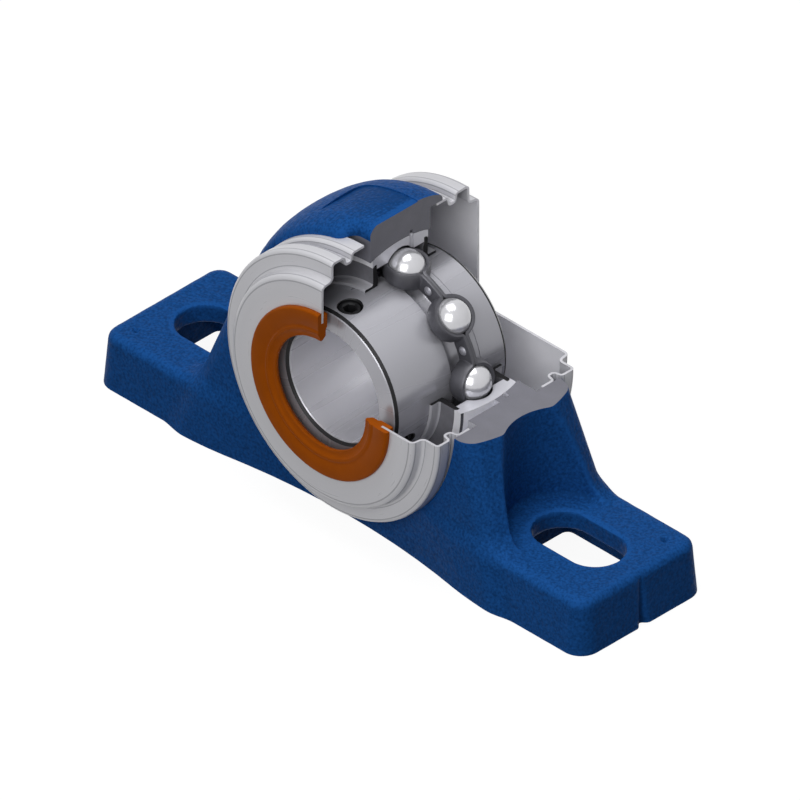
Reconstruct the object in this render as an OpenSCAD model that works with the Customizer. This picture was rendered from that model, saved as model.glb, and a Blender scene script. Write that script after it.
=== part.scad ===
// Pillow block bearing unit with end covers, shown with one quarter cut away.
// X runs along the base, Y along the shaft with the open cover at -Y, Z is up.
// The origin is the centre of the base's underside.

/* [Housing] */
// Length of the base
base_l = 165; // [155:1:175]
// Width of the base at its underside
base_w = 42.5; // [40:0.5:46]
// Height of the feet
foot_h = 14.7; // [12:0.1:17]
// Corner radius of the base in plan
corner_r = 5.4; // [4:0.1:7]
// Rounding of the feet's top edges
foot_round = 2; // [1:0.25:3]
// Depth of the waist in the base's long sides
waist_d = 3.5; // [2:0.25:4]
// Length of the waist along the base
waist_l = 78; // [70:1:84]
// Height of the shaft above the base
shaft_h = 40.5; // [40:0.1:43]
// Width of the flat rims around the recesses for the covers
rim_w = 0.6; // [0.4:0.1:1.4]
// Rise of the crowned head above its rims
crown_h = 3.8; // [2.5:0.1:4.6]
// Depth of the recesses for the covers at the top of the head
recess_d = 4.1; // [3.4:0.1:5]
// Lean of the flanks from upright, degrees
flank_lean = 25; // [20:1:28]
// Half width of the crest that runs up the middle of each flank
crest_w = 8; // [6:0.5:10]
// How far the flank's corners lie behind its crest
crest_drop = 6.3; // [5:0.1:7.5]
// Lean of the flanks' corners from upright, degrees
corner_lean = 20.5; // [18:0.5:22]
// Edge radius of the flanks
flank_round = 3; // [2:0.25:4]
// Fillet between the flanks and the feet
foot_fillet = 4.5; // [3:0.25:6]
// Distance between the bolt slots
bolt_pitch = 121; // [118:0.5:124]
// Width of a bolt slot
slot_w = 15; // [12:0.5:17]
// Length of a bolt slot, end to end
slot_l = 26; // [22:0.5:29]
// Wall that stands round the hollow under each foot
hollow_wall = 6.1; // [5:0.1:7]
// How far each hollow reaches past its bolt slot towards the middle
hollow_past = 6; // [4:0.5:8]
// Corner radius of the hollows
hollow_r = 2; // [1:0.25:4]
// Thickness of the feet above the hollows
web_t = 5.4; // [4.5:0.1:7]
// Radius cleared for a bolt's washer
washer_r = 14.2; // [12:0.1:15]
// Fillet at the foot of the washer clearance
washer_fillet = 1.5; // [0.75:0.25:2.5]
// Room between the outer ring's ends and the faces that the covers stop at
step_gap = 0.8; // [0.5:0.1:1.4]
// How far the recesses for the covers stand out past the outer ring
recess_step = 4.7; // [4.2:0.1:5.4]
// How far the loading slots stand out past the outer ring
load_step = 1.8; // [1:0.1:2.6]
// Place of the grease groove along the shaft
groove_y = 4.6; // [4:0.1:6]
// Width of the grease groove at the seat
groove_w = 2.4; // [1.6:0.1:3]
// Depth of the grease groove
groove_d = 1.6; // [1:0.1:2]
// Width of the notch in the front rim
notch_w = 11.5; // [8:0.5:14]
// Width of the end marks
mark_w = 3.4; // [2:0.2:4]
// Radius of the dowel spots on the feet
dowel_r = 1.1; // [0.8:0.1:1.6]
// Distance of the dowel spots from the ends of the base
dowel_in = 7; // [6:0.5:8]
// Distance of the dowel spots from the middle of the base
dowel_y = 14; // [12.5:0.25:14.5]
// Length of the bare name pad around the head
pad_l = 38; // [30:1:44]
// Width of the bare name pad
pad_w = 11.8; // [9:0.2:14]
// Depth of the bare name pad
pad_d = 0.9; // [0.4:0.1:1.4]

/* [Bearing] */
// Bore of the inner ring
bore_d = 30; // [28:0.5:31]
// Height of the shoulders beside the inner ring's raceway
inner_shoulder = 2; // [1.6:0.1:2.2]
// Reach of the inner ring toward the open cover
ring_front = 23.1; // [21.5:0.1:24]
// Reach of the inner ring toward the closed cover
ring_rear = 15; // [14:0.1:16.5]
// Chamfer on the inner ring's ends
ring_chamfer = 0.9; // [0.4:0.1:1.2]
// Diameter of the spherical outside of the outer ring
ring_od = 62.6; // [61.8:0.2:64]
// Width of the outer ring
ring_w = 18.8; // [18.2:0.1:20]
// Height of the shoulders beside the outer ring's raceway
outer_shoulder = 2.4; // [2:0.1:2.6]
// Diameter of the balls
ball_d = 9.525; // [9:0.025:9.8]
// How far the balls' pitch circle exceeds the mean of bore and outside
pitch_shift = 2.7; // [2.2:0.1:3]
// Number of balls
ball_count = 9; // [7:1:9]
// Angle of the first ball from the top, degrees
ball_start = 5; // [0:1:20]
// Radius of a raceway as a share of the ball's diameter
conformity = 0.52; // [0.51:0.005:0.53]
// Radius of the lubrication hole in the outer ring
lube_r = 0.8; // [0.5:0.1:1]
// Place of the lubrication hole along the shaft
lube_y = 4.4; // [3:0.1:5]

/* [Cage] */
// Clearance of the cage to the shoulders of both rings
cage_gap = 0.35; // [0.25:0.05:0.6]
// Thickness of the cage's strip
cage_t = 0.9; // [0.7:0.05:1.1]
// Clearance of a ball in its pocket
pocket_gap = 0.2; // [0.15:0.05:0.3]
// Radius of a rivet's shank
rivet_r = 0.7; // [0.5:0.05:0.9]
// Radius of a rivet's heads
rivet_head_r = 1.2; // [1:0.05:1.4]
// Height of a rivet's heads
rivet_head_h = 0.5; // [0.3:0.05:0.7]

/* [Bearing seals] */
// Thickness of a seal's disc
seal_t = 1.3; // [1:0.05:1.4]
// How far a seal lies inside the outer ring's end
seal_in = 0.1; // [0.1:0.05:0.5]
// Depth of the seal groove in the outer ring
seal_seat = 1.3; // [0.9:0.05:1.4]
// Thickness of the sleeve on the seal's inner edge
sleeve_t = 0.75; // [0.5:0.05:1]
// Length of that sleeve
sleeve_l = 4; // [3:0.1:4.4]

/* [Set screws] */
// Diameter of a set screw
screw_d = 6; // [5:0.5:6]
// Distance of the set screws from the inner ring's front end
screw_in = 4.9; // [4:0.1:6]
// Distance of a set screw's tip from the shaft
tip_gap = 0.35; // [0.2:0.05:0.5]
// How far a set screw lies below the ring's outside
head_gap = 0.45; // [0.2:0.05:0.8]
// Angle of the first set screw from the top, degrees
screw_start = 3; // [0:1:10]
// Angle between the set screws, degrees
screw_step = 112; // [60:1:120]
// Width across the flats of the screw's socket
socket_w = 3; // [2.5:0.1:3.2]
// Depth of the screw's socket
socket_d = 3.2; // [2:0.1:3.6]

/* [End covers] */
// Thickness of the covers' sheet
sheet_t = 0.65; // [0.5:0.05:0.8]
// Room from the inner ring's front end to the covers' flat walls
cover_room = 3.3; // [3:0.1:4.5]
// How far the flat wall's edge lies inside the flange
wall_in = 5.3; // [5:0.1:6.4]
// Width of the ledge between the wall and the bead
neck_d = 4.8; // [4.2:0.1:4.9]
// Depth of that ledge behind the flat wall
neck_y = 3.35; // [3:0.05:4]
// Width of the bead behind the ledge
bead_w = 4; // [3.4:0.1:4.4]
// Depth of the waist between the bead and the flange
waist_in = 2.3; // [2:0.1:2.6]
// Width of the waist
waist_w = 2.9; // [2.7:0.1:3.4]
// How far the front cover's flange stops short of the step
front_short = 0.6; // [0.2:0.1:1.5]
// How far the rear cover's flange stops short of the step
rear_short = 2.1; // [0.5:0.1:2.5]
// How far the front cover's opening clears the shaft
opening_gap = 5.1; // [4.8:0.1:5.6]
// Bend radius of the pressed sheet
bend_r = 0.9; // [0.6:0.05:1]

/* [Cover seal] */
// How far the seal's outer face covers the sheet
seal_over = 3; // [2.4:0.1:3.6]
// Thickness of the cover seal
seal_w = 3.2; // [2.8:0.1:3.4]
// Clearance between the seal's lip and the shaft
lip_gap = 0.12; // [0.1:0.02:0.2]
// Depth to which the seal grips the cover
grip_d = 2.2; // [1.6:0.1:2.4]
// Depth of the rings moulded in the seal's face
ring_d = 0.4; // [0.2:0.05:0.6]

/* [Fits] */
// Clearance of the outer ring in its spherical seat
seat_gap = 0.06; // [0.04:0.01:0.09]
// Clearance of the balls at each raceway
race_gap = 0.03; // [0.02:0.01:0.05]
// Clearance of pieces pressed into the housing and rings
press_gap = 0.04; // [0.02:0.01:0.06]
// Clearance of the bearing seals around the inner ring
wipe_gap = 0.08; // [0.05:0.01:0.1]

/* [Hidden] */

// Facets of a full circle in exact shapes, and in the hulls of the casting
$fn = 96;
hull_fn = 32;
head_fn = 80;
// Overshoot of a cut past the face it opens
over = 1;
// Reach of the quarter cut beyond the part
far = 120;

ball_r = ball_d / 2;
bore_r = bore_d / 2;
ring_r = ring_od / 2;
pitch_r = ((bore_d + ring_od) / 2 + pitch_shift) / 2;
race_r = conformity * ball_d;
// Outside of the inner ring, and bore of the outer ring beside its raceway
inner_r = pitch_r - ball_r - race_gap + inner_shoulder;
land_r = pitch_r + ball_r + race_gap - outer_shoulder;
seat_r = ring_r + seat_gap;
load_r = ring_r + load_step;
cover_bore_r = ring_r + recess_step;
step_y = ring_w / 2 + step_gap;
rim_r = cover_bore_r + rim_w;
head_r = rim_r + crown_h;
head_w = 2 * (step_y + recess_d);
// Radius of the crowned head where the flanks' crests meet it
crest_r = rim_r + crown_h * sqrt(1 - pow(2 * crest_w / head_w, 2));
// Slope of the casting's front and back faces
draft = (base_w - head_w) / 2 / (shaft_h + head_r);
// Radius of the big arc that makes the waist
waist_arc = (pow(waist_l / 2, 2) + pow(waist_d, 2)) / (2 * waist_d);
washer_x = (bolt_pitch - (slot_l - slot_w)) / 2;
pocket_r = ball_r + pocket_gap;
cage_in_r = inner_r + cage_gap;
cage_out_r = land_r - cage_gap;
cage_mid_r = (cage_in_r + cage_out_r) / 2;
// The seals' grooves: place of the inner wall, bottom, mouth and depth along the shaft
seal_y = ring_w / 2 - seal_in - seal_t;
seal_seat_r = land_r + seal_seat;
seal_mouth_r = land_r + 0.6 * seal_seat;
seal_seat_w = 0.6 * seal_t;
screw_y = ring_front - screw_in;
screw_tip_r = bore_r + tip_gap;
screw_l = inner_r - head_gap - screw_tip_r;
cover_y = ring_front + cover_room;
flange_r = cover_bore_r - press_gap - sheet_t / 2;
opening_r = bore_r + opening_gap;

// Half width of the casting at a height
function half_w(z) = base_w / 2 - draft * z;
// Half length of the flanks' crest at a height
function flank_x(z) = (crest_r + (shaft_h - z) * sin(flank_lean)) / cos(flank_lean);
// Centre of the flanks' rounded corners at a height
function corner_x(z) = flank_x(0) - crest_drop - flank_round - z * tan(corner_lean);
function unit(v) = v / norm(v);
function turn(v, a) = [v.x * cos(a) - v.y * sin(a), v.x * sin(a) + v.y * cos(a)];
function side(u) = [-u.y, u.x];

// Points of the arc of radius r that replaces the corner at b
function bend(a, b, c, r, n = 4) =
    let (u = unit(a - b), w = unit(c - b))
    let (half = acos(u * w) / 2, centre = b + unit(u + w) * r / sin(half))
    let (start = b + u * r / tan(half) - centre)
    let (sweep = (180 - 2 * half) * (u.x * w.y - u.y * w.x > 0 ? -1 : 1))
    [for (i = [0:n]) centre + turn(start, sweep * i / n)];

// A path with its inner corners bent to radius r
function bent_path(path, r) = [
    path[0],
    for (i = [1:len(path) - 2]) each bend(path[i - 1], path[i], path[i + 1], r),
    path[len(path) - 1]
];

// One side of a sheet of half thickness h that follows a path
function sheet_side(path, h) = [
    for (i = [0:len(path) - 1])
        let (before = side(unit(path[max(i, 1)] - path[max(i, 1) - 1])))
        let (last = len(path) - 2, j = min(i, last))
        let (after = side(unit(path[j + 1] - path[j])))
        let (mitre = unit(before + after))
        path[i] + mitre * h / (mitre * after)
];

// Closed outline of a sheet of thickness t along a path
function sheet(path, t) = let (
    one = sheet_side(path, t / 2),
    two = sheet_side(path, -t / 2)
) concat(one, [for (i = [len(two) - 1:-1:0]) two[i]]);

// Turns a profile of [radius, y] about the shaft
module turned(points) {
    translate([0, 0, shaft_h])
        rotate([90, 0, 0])
            mirror([0, 0, 1])
                rotate_extrude()
                    polygon(points);
}

// A cylinder about the shaft, from y0 to y1
module round_y(r, y0, y1) {
    translate([0, y0, shaft_h])
        rotate([-90, 0, 0])
            cylinder(r = r, h = y1 - y0);
}

// The quarter above the shaft on the +X side, which every section leaves out
module quarter() {
    translate([0, -far / 2, shaft_h])
        cube([far, far, far]);
}

// Places a shape at an angle from the top and a radius, its Z axis outward
module around(angle, radius, y = 0) {
    translate([0, y, shaft_h])
        rotate([0, angle, 0])
            translate([0, 0, radius])
                children();
}

// The two feet and the web between them, with drafted sides
module foot_block() {
    side_h = foot_h - foot_round;
    edge_r = corner_r - draft * side_h;
    hull()
        for (sx = [-1, 1], sy = [-1, 1])
            translate([sx * (base_l / 2 - corner_r), sy * (base_w / 2 - corner_r), 0]) {
                cylinder(r1 = corner_r, r2 = edge_r, h = side_h, $fn = hull_fn);
                for (a = [30, 60, 90])
                    translate([0, 0, side_h])
                        cylinder(
                            r1 = edge_r,
                            r2 = edge_r - foot_round * (1 - cos(a)),
                            h = foot_round * sin(a),
                            $fn = hull_fn
                        );
            }
}

// Upright strips that mark a cross section of the flanks at height z
module flank_marks(z, grow = 0, h = 0.05) {
    for (sx = [-1, 1], sy = [-1, 1]) {
        translate([sx * (corner_x(z) + grow), sy * (half_w(z) - flank_round), z])
            cylinder(r = flank_round, h = h, $fn = hull_fn);
        translate([sx * (flank_x(z) - 1 + grow), sy * (crest_w - 1), z])
            cylinder(r = 1, h = h, $fn = 16);
    }
}

// The round head and the flanks that come down from it to the base
module head_and_flanks() {
    hull() {
        turned([
            [0, -head_w / 2],
            for (a = [-90:18:90])
                [rim_r + crown_h * cos(a), head_w / 2 * sin(a)],
            [0, head_w / 2]
        ], $fn = head_fn);
        flank_marks(0);
        flank_marks(shaft_h);
    }
    // Fillet down to the feet, in three short flares
    for (i = [0:2]) {
        a0 = 30 * i;
        a1 = 30 * (i + 1);
        hull() {
            flank_marks(foot_h - 0.4 + foot_fillet * (1 - cos(a0)), foot_fillet * (1 - sin(a0)));
            flank_marks(foot_h - 0.4 + foot_fillet * (1 - cos(a1)), foot_fillet * (1 - sin(a1)));
        }
    }
}

// Room for a washer and a spanner above the foot, with a filleted floor
module washer_room() {
    translate([washer_x, 0, foot_h])
        rotate_extrude()
            polygon([
                [0, 0],
                for (a = [0:22.5:90])
                    [
                        washer_r - washer_fillet + washer_fillet * sin(a),
                        washer_fillet * (1 - cos(a))
                    ],
                [washer_r, far],
                [0, far]
            ]);
}

// A slotted hole for a foundation bolt
module bolt_slot() {
    reach = (slot_l - slot_w) / 2;
    for (sx = [-1, 1])
        translate([bolt_pitch / 2 + sx * reach, 0, -over])
            cylinder(d = slot_w, h = foot_h + 2 * over);
    translate([bolt_pitch / 2 - reach, -slot_w / 2, -over])
        cube([2 * reach, slot_w, foot_h + 2 * over]);
}

// A rectangle about the origin with round corners
module rounded_rectangle(length, width, r) {
    union() {
        square([length, width - 2 * r], center = true);
        square([length - 2 * r, width], center = true);
        for (sx = [-1, 1], sy = [-1, 1])
            translate([sx * (length / 2 - r), sy * (width / 2 - r)])
                circle(r = r);
    }
}

// The hollow that the core leaves under a foot
module foot_hollow() {
    inner = bolt_pitch / 2 - slot_l / 2 - hollow_past;
    outer = base_l / 2 - hollow_wall;
    translate([(inner + outer) / 2, 0, -over])
        linear_extrude(height = foot_h - web_t + over)
            rounded_rectangle(outer - inner, base_w - 2 * hollow_wall, hollow_r);
}

// Everything that is machined about the shaft's axis
module bearing_seat() {
    translate([0, 0, shaft_h])
        rotate([90, 0, 0])
            sphere(r = seat_r);
    round_y(cover_bore_r, -far / 2, -step_y);
    round_y(cover_bore_r, step_y, far / 2);
    // Loading slots, where the ring is passed in edgewise and then turned
    intersection() {
        round_y(load_r, -step_y - over, groove_y - groove_w / 2);
        translate([-far / 2, -far / 2, shaft_h - ring_w / 2 - 4 * seat_gap])
            cube([far, far, ring_w + 8 * seat_gap]);
    }
    // Grease groove in the seat
    groove_r = sqrt(pow(seat_r, 2) - pow(groove_y, 2));
    turned([
        [groove_r - over, groove_y - groove_w / 2 - over / 2],
        [groove_r + groove_d, groove_y - groove_w / 12],
        [groove_r + groove_d, groove_y + groove_w / 12],
        [groove_r - over, groove_y + groove_w / 2 + over / 2]
    ]);
}

// The notch in the front rim, down to the face that the cover stops at
module rim_notch() {
    round = 2.5;
    translate([0, 0, shaft_h + cover_bore_r - 3])
        linear_extrude(height = far / 4)
            union() {
                translate([-notch_w / 2, -far / 4])
                    square([notch_w, far / 4 - step_y - round]);
                translate([-notch_w / 2 + round, -far / 4])
                    square([notch_w - 2 * round, far / 4 - step_y]);
                for (sx = [-1, 1])
                    translate([sx * (notch_w / 2 - round), -step_y - round])
                        circle(r = round);
            }
}

// The shallow bare pad on top of the head, with rounded corners
module name_pad() {
    round = 2.4;
    intersection() {
        difference() {
            round_y(head_r + over, -pad_w, pad_w);
            round_y(head_r - pad_d, -pad_w - over, pad_w + over);
        }
        translate([0, -0.6, shaft_h])
            linear_extrude(height = far / 2)
                rounded_rectangle(pad_l, pad_w, round);
    }
}

// Marks on the ends and dowel spots on the feet
module foot_marks() {
    for (sx = [-1, 1]) {
        translate([sx * base_l / 2, 0, -over])
            rotate([0, 0, 45])
                translate([-mark_w / sqrt(2) / 2 - 0.3, -mark_w / sqrt(2) / 2 - 0.3, 0])
                    cube([mark_w / sqrt(2) + 0.6, mark_w / sqrt(2) + 0.6, foot_h + 2 * over]);
        translate([sx * (base_l / 2 - dowel_in), sx * dowel_y, foot_h - dowel_r])
            cylinder(r1 = 0, r2 = dowel_r * 1.5, h = dowel_r * 1.5);
    }
}

module housing() {
    color("#1f4c8a")
        difference() {
            union() {
                foot_block();
                difference() {
                    head_and_flanks();
                    washer_room();
                    mirror([1, 0, 0])
                        washer_room();
                }
            }
            bolt_slot();
            foot_hollow();
            mirror([1, 0, 0]) {
                bolt_slot();
                foot_hollow();
            }
            for (sy = [-1, 1])
                translate([0, sy * (base_w / 2 + waist_arc - waist_d), -over])
                    cylinder(r = waist_arc, h = shaft_h + over, $fn = 400);
            bearing_seat();
            rim_notch();
            name_pad();
            foot_marks();
            quarter();
        }
}

module outer_ring() {
    groove = pitch_r + ball_r + race_gap - race_r;
    color("#b9b9c2")
        difference() {
            intersection() {
                translate([0, 0, shaft_h])
                    rotate([90, 0, 0])
                        sphere(r = ring_r);
                round_y(ring_od, -ring_w / 2, ring_w / 2);
            }
            round_y(land_r, -ring_w, ring_w);
            // Raceway
            translate([0, 0, shaft_h])
                rotate([90, 0, 0])
                    rotate_extrude()
                        translate([groove, 0])
                            circle(r = race_r);
            // Seats of the two bearing seals
            for (sy = [-1, 1])
                turned([
                    [land_r - over, sy * seal_y],
                    [seal_seat_r, sy * seal_y],
                    [seal_seat_r, sy * (seal_y + seal_seat_w)],
                    [seal_mouth_r, sy * (seal_y + seal_t)],
                    [seal_mouth_r, sy * (ring_w / 2 + over)],
                    [land_r - over, sy * (ring_w / 2 + over)]
                ]);
            translate([0, lube_y, shaft_h])
                cylinder(r = lube_r, h = ring_od);
            quarter();
        }
}

module bearing_seal(s) {
    inner = inner_r + wipe_gap;
    outer = seal_seat_r - press_gap;
    front = seal_y + seal_t - press_gap;
    // The disc's web is thinner than its rim
    web_y = seal_y + seal_t / 4;
    color("#2b2b2e")
        difference() {
            turned([
                [inner, s * web_y],
                [land_r - seal_seat, s * web_y],
                [land_r - seal_seat / 2, s * (seal_y + press_gap)],
                [outer, s * (seal_y + press_gap)],
                [outer, s * (seal_y + seal_seat_w - press_gap)],
                [seal_mouth_r - press_gap, s * front],
                [inner + sleeve_t * 1.6, s * front],
                [inner + sleeve_t, s * (front + sleeve_t / 2)],
                [inner + sleeve_t, s * (seal_y + sleeve_l - sleeve_t / 4)],
                [inner + sleeve_t * 0.75, s * (seal_y + sleeve_l)],
                [inner, s * (seal_y + sleeve_l)]
            ]);
            quarter();
        }
}

// Radial hole for a set screw
module screw_hole(angle) {
    around(angle, 0, -screw_y)
        cylinder(d = screw_d, h = 2 * inner_r);
}

module inner_ring() {
    groove = pitch_r - ball_r - race_gap + race_r;
    c = ring_chamfer;
    r0 = bore_r;
    r1 = inner_r;
    // A shallow step on each side of the raceway
    step = 0.12;
    shoulder = race_r + over;
    color("#9a9aa4")
        difference() {
            turned([
                [r0, -ring_front + c],
                [r0 + c, -ring_front],
                [r1 - c, -ring_front],
                [r1, -ring_front + c],
                [r1, -shoulder],
                [r1 - step, -shoulder],
                [r1 - step, shoulder],
                [r1, shoulder],
                [r1, ring_rear - c],
                [r1 - c, ring_rear],
                [r0 + c, ring_rear],
                [r0, ring_rear - c]
            ]);
            translate([0, 0, shaft_h])
                rotate([90, 0, 0])
                    rotate_extrude()
                        translate([groove, 0])
                            circle(r = race_r);
            for (i = [0:1])
                screw_hole(screw_start + i * screw_step);
        }
}

// A cup point set screw with a hexagon socket
module set_screw(i) {
    r = screw_d / 2 - press_gap;
    chamfer = 0.5;
    color("#2e2e30")
        around(screw_start + (i - 1) * screw_step, screw_tip_r, -screw_y)
            difference() {
                union() {
                    cylinder(r1 = r - chamfer * 2, r2 = r, h = chamfer * 2);
                    translate([0, 0, chamfer * 2])
                        cylinder(r = r, h = screw_l - chamfer * 3);
                    translate([0, 0, screw_l - chamfer])
                        cylinder(r1 = r, r2 = r - chamfer, h = chamfer);
                }
                // Cup point
                translate([0, 0, -0.01])
                    cylinder(r1 = r - chamfer * 2 - 0.2, r2 = 0, h = r * 0.5);
                translate([0, 0, screw_l - socket_d])
                    cylinder(d = socket_w / cos(30), h = socket_d + over, $fn = 6);
                translate([0, 0, screw_l - 0.3])
                    cylinder(r1 = socket_w / 2, r2 = socket_w / 2 + 0.5, h = 0.3 + 0.01);
            }
}

// The front half of the riveted ribbon cage: flat webs and a pocket round each ball
module cage_half() {
    reach = pocket_r + cage_t + over;
    color("#6f7076")
        difference() {
            intersection() {
                difference() {
                    round_y(cage_out_r, -reach, 0);
                    round_y(cage_in_r, -reach - over, reach + over);
                }
                union() {
                    round_y(cage_out_r + over, -cage_t, 0);
                    for (i = [0:ball_count - 1])
                        around(ball_start + i * 360 / ball_count, pitch_r)
                            sphere(r = pocket_r + cage_t);
                }
            }
            for (i = [0:ball_count - 1]) {
                around(ball_start + i * 360 / ball_count, pitch_r)
                    sphere(r = pocket_r);
                rivet_place(i)
                    rotate([90, 0, 0])
                        cylinder(r = rivet_r + press_gap / 2, h = 4 * reach, center = true);
            }
        }
}

module rivet_place(i) {
    around(ball_start + (i + 0.5) * 360 / ball_count, cage_mid_r)
        children();
}

// Rivets that hold the two halves of the cage together
module cage_rivets() {
    head = cage_t + rivet_head_h;
    color("#8a8b92")
        for (i = [0:ball_count - 1])
            rivet_place(i)
                rotate([90, 0, 0])
                    rotate_extrude()
                        polygon([
                            [0, -head],
                            [rivet_head_r * 0.55, -head],
                            [rivet_head_r * 0.9, -head + rivet_head_h * 0.4],
                            [rivet_head_r, -cage_t],
                            [rivet_r, -cage_t],
                            [rivet_r, cage_t],
                            [rivet_head_r, cage_t],
                            [rivet_head_r * 0.9, head - rivet_head_h * 0.4],
                            [rivet_head_r * 0.55, head],
                            [0, head]
                        ]);
}

module ball(i) {
    color("#e6e6ea")
        around(ball_start + (i - 1) * 360 / ball_count, pitch_r)
            sphere(r = ball_r);
}

// The pressed shape that both covers share, from the wall to the flange's end
function cover_path(start_r, end_y) = let (
    ledge_y = cover_y - neck_y,
    bead_y = ledge_y - bead_w,
    slant = 0.45
) bent_path([
    [start_r, cover_y],
    [flange_r - wall_in, cover_y],
    [flange_r - neck_d, ledge_y],
    [flange_r, ledge_y],
    [flange_r, bead_y],
    [flange_r - waist_in, bead_y - slant],
    [flange_r - waist_in, bead_y - waist_w + slant],
    [flange_r, bead_y - waist_w],
    [flange_r, end_y]
], bend_r);

// An end cover of pressed sheet, s is -1 in front and 1 behind
module end_cover(s, start_r, short) {
    color("#c4c4ca")
        difference() {
            turned([
                for (p = sheet(cover_path(start_r, step_y + short), sheet_t))
                    [max(p.x, 0), s * p.y]
            ]);
            quarter();
        }
}

// Rubber seal that grips the front cover's opening and wipes the shaft
module cover_seal() {
    out_y = -cover_y - seal_w / 2;
    in_y = -cover_y + seal_w / 2;
    gap = sheet_t / 2 + press_gap;
    root = opening_r - press_gap;
    lip = bore_r + lip_gap;
    edge = 0.5;
    // Places of the moulded rings, counted inward from the cover's opening
    first_ring = root - 2 * edge;
    second_ring = root - 4 * edge;
    third_ring = root - 6 * edge;
    color("#c2601c")
        difference() {
            turned([
                // Outer face, with its moulded rings
                [opening_r + seal_over, out_y + edge],
                [opening_r + seal_over - edge, out_y],
                [first_ring + 2 * edge, out_y],
                [first_ring, out_y + ring_d],
                [second_ring + edge, out_y + ring_d],
                [second_ring, out_y + ring_d / 2],
                [third_ring + edge / 2, out_y + ring_d / 2],
                [third_ring - edge / 2, out_y + ring_d * 1.6],
                // Lip
                [lip + 2 * edge, out_y + ring_d * 1.6],
                [lip, out_y + 2 * edge],
                [lip, out_y + 3 * edge],
                [lip + 2 * edge, in_y - edge],
                [third_ring + edge, in_y - edge],
                [third_ring + 2 * edge, in_y],
                [root + grip_d, in_y],
                [root + grip_d, -cover_y + gap],
                [root, -cover_y + gap],
                [root, -cover_y - gap],
                [opening_r + seal_over, -cover_y - gap]
            ]);
            quarter();
        }
}

housing();
outer_ring();
inner_ring();
set_screw(1);  // set_screw_1
set_screw(2);  // set_screw_2
cage_half();  // cage_front
mirror([0, 1, 0]) cage_half();  // cage_rear
cage_rivets();
bearing_seal(-1);  // bearing_seal_front
bearing_seal(1);  // bearing_seal_rear
end_cover(-1, opening_r, front_short);  // end_cover_front
end_cover(1, 0, rear_short);  // end_cover_rear
cover_seal();
for (i = [1:ball_count])
    ball(i);
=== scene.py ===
"""Pillow block bearing with end covers, cut away: its visible meshes and finishes.

Sizes are millimetres and meshes are made in metres, in the frame's own axes: X runs along
the base, Y along the shaft with the open cover at -Y, and Z is up. Angles about the shaft
count from the top toward +X. The quarter from 0 to 90 degrees is the one cut away.
"""

import logging
import math
from dataclasses import dataclass, field
from enum import Enum

import bmesh
import bpy
import numpy as np
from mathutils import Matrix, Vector


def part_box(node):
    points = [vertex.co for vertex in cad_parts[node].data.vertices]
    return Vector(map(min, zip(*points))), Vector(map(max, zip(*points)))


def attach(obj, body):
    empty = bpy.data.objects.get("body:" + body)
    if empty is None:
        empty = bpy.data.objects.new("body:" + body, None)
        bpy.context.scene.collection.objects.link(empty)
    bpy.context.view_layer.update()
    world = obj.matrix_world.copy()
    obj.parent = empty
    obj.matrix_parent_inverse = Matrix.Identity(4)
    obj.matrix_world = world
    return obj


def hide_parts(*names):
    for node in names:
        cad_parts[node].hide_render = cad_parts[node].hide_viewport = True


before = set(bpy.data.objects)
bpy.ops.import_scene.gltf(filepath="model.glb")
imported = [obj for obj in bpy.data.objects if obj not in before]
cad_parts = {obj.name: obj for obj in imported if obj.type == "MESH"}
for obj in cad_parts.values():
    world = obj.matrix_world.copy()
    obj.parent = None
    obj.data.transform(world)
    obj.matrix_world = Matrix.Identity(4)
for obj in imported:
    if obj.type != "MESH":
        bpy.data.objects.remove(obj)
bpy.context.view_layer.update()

MM = 0.001
LOG = logging.getLogger("bearing")
BORE_D = 30.0
FINE_TURN = 240
FLAT = 0.9
STEEP = 0.3
WHITE = (1.0, 1.0, 1.0, 1.0)
BEND_STEPS = 6
NECK_BEND = 1
Outline = list[tuple[float, float]]
Steps = tuple[tuple[float, float], ...]
Point = tuple[float, float, float]
Ring = list[Point]
Object = bpy.types.Object
Material = bpy.types.Material
Socket = bpy.types.NodeSocket
Field = np.ndarray


class Side(Enum):
    """The end of the shaft that a piece belongs to."""

    FRONT = -1
    REAR = 1


class Extent(Enum):
    """How much of a full turn a turned piece covers."""

    WHOLE = "whole"
    SECTIONED = "sectioned"


@dataclass(frozen=True)
class Layout:
    """Main sizes of the unit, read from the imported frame."""

    shaft_h: float
    base_l: float
    base_w: float
    bore_r: float
    inner_r: float
    ring_front: float
    ring_rear: float
    ring_r: float
    ring_w: float
    pitch_r: float
    ball_r: float
    cover_y: float
    cover_r: float

    @staticmethod
    def box(node: str) -> tuple[Vector, Vector]:
        """Lowest and highest corner of a node in millimetres."""
        low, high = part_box(node)
        return low / MM, high / MM

    @classmethod
    def from_frame(cls) -> "Layout":
        """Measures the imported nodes.

        Returns:
            The sizes that the visible pieces are worked out from.
        """
        base_low, base_high = cls.box("housing")
        inner_low, inner_high = cls.box("inner_ring")
        outer_low, outer_high = cls.box("outer_ring")
        ball_low, ball_high = cls.box("ball_1")
        cover_low, _ = cls.box("end_cover_front")
        shaft_h = (inner_low.z + inner_high.z) / 2
        middle = (ball_low + ball_high) / 2
        return cls(
            shaft_h=shaft_h,
            base_l=base_high.x - base_low.x,
            base_w=base_high.y - base_low.y,
            bore_r=BORE_D / 2,
            inner_r=(inner_high.x - inner_low.x) / 2,
            ring_front=-inner_low.y,
            ring_rear=inner_high.y,
            ring_r=-outer_low.x,
            ring_w=outer_high.y - outer_low.y,
            pitch_r=math.hypot(middle.x, middle.z - shaft_h),
            ball_r=(ball_high.z - ball_low.z) / 2,
            cover_y=-cover_low.y,
            cover_r=-cover_low.x,
        )


SIZES = Layout.from_frame()


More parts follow.
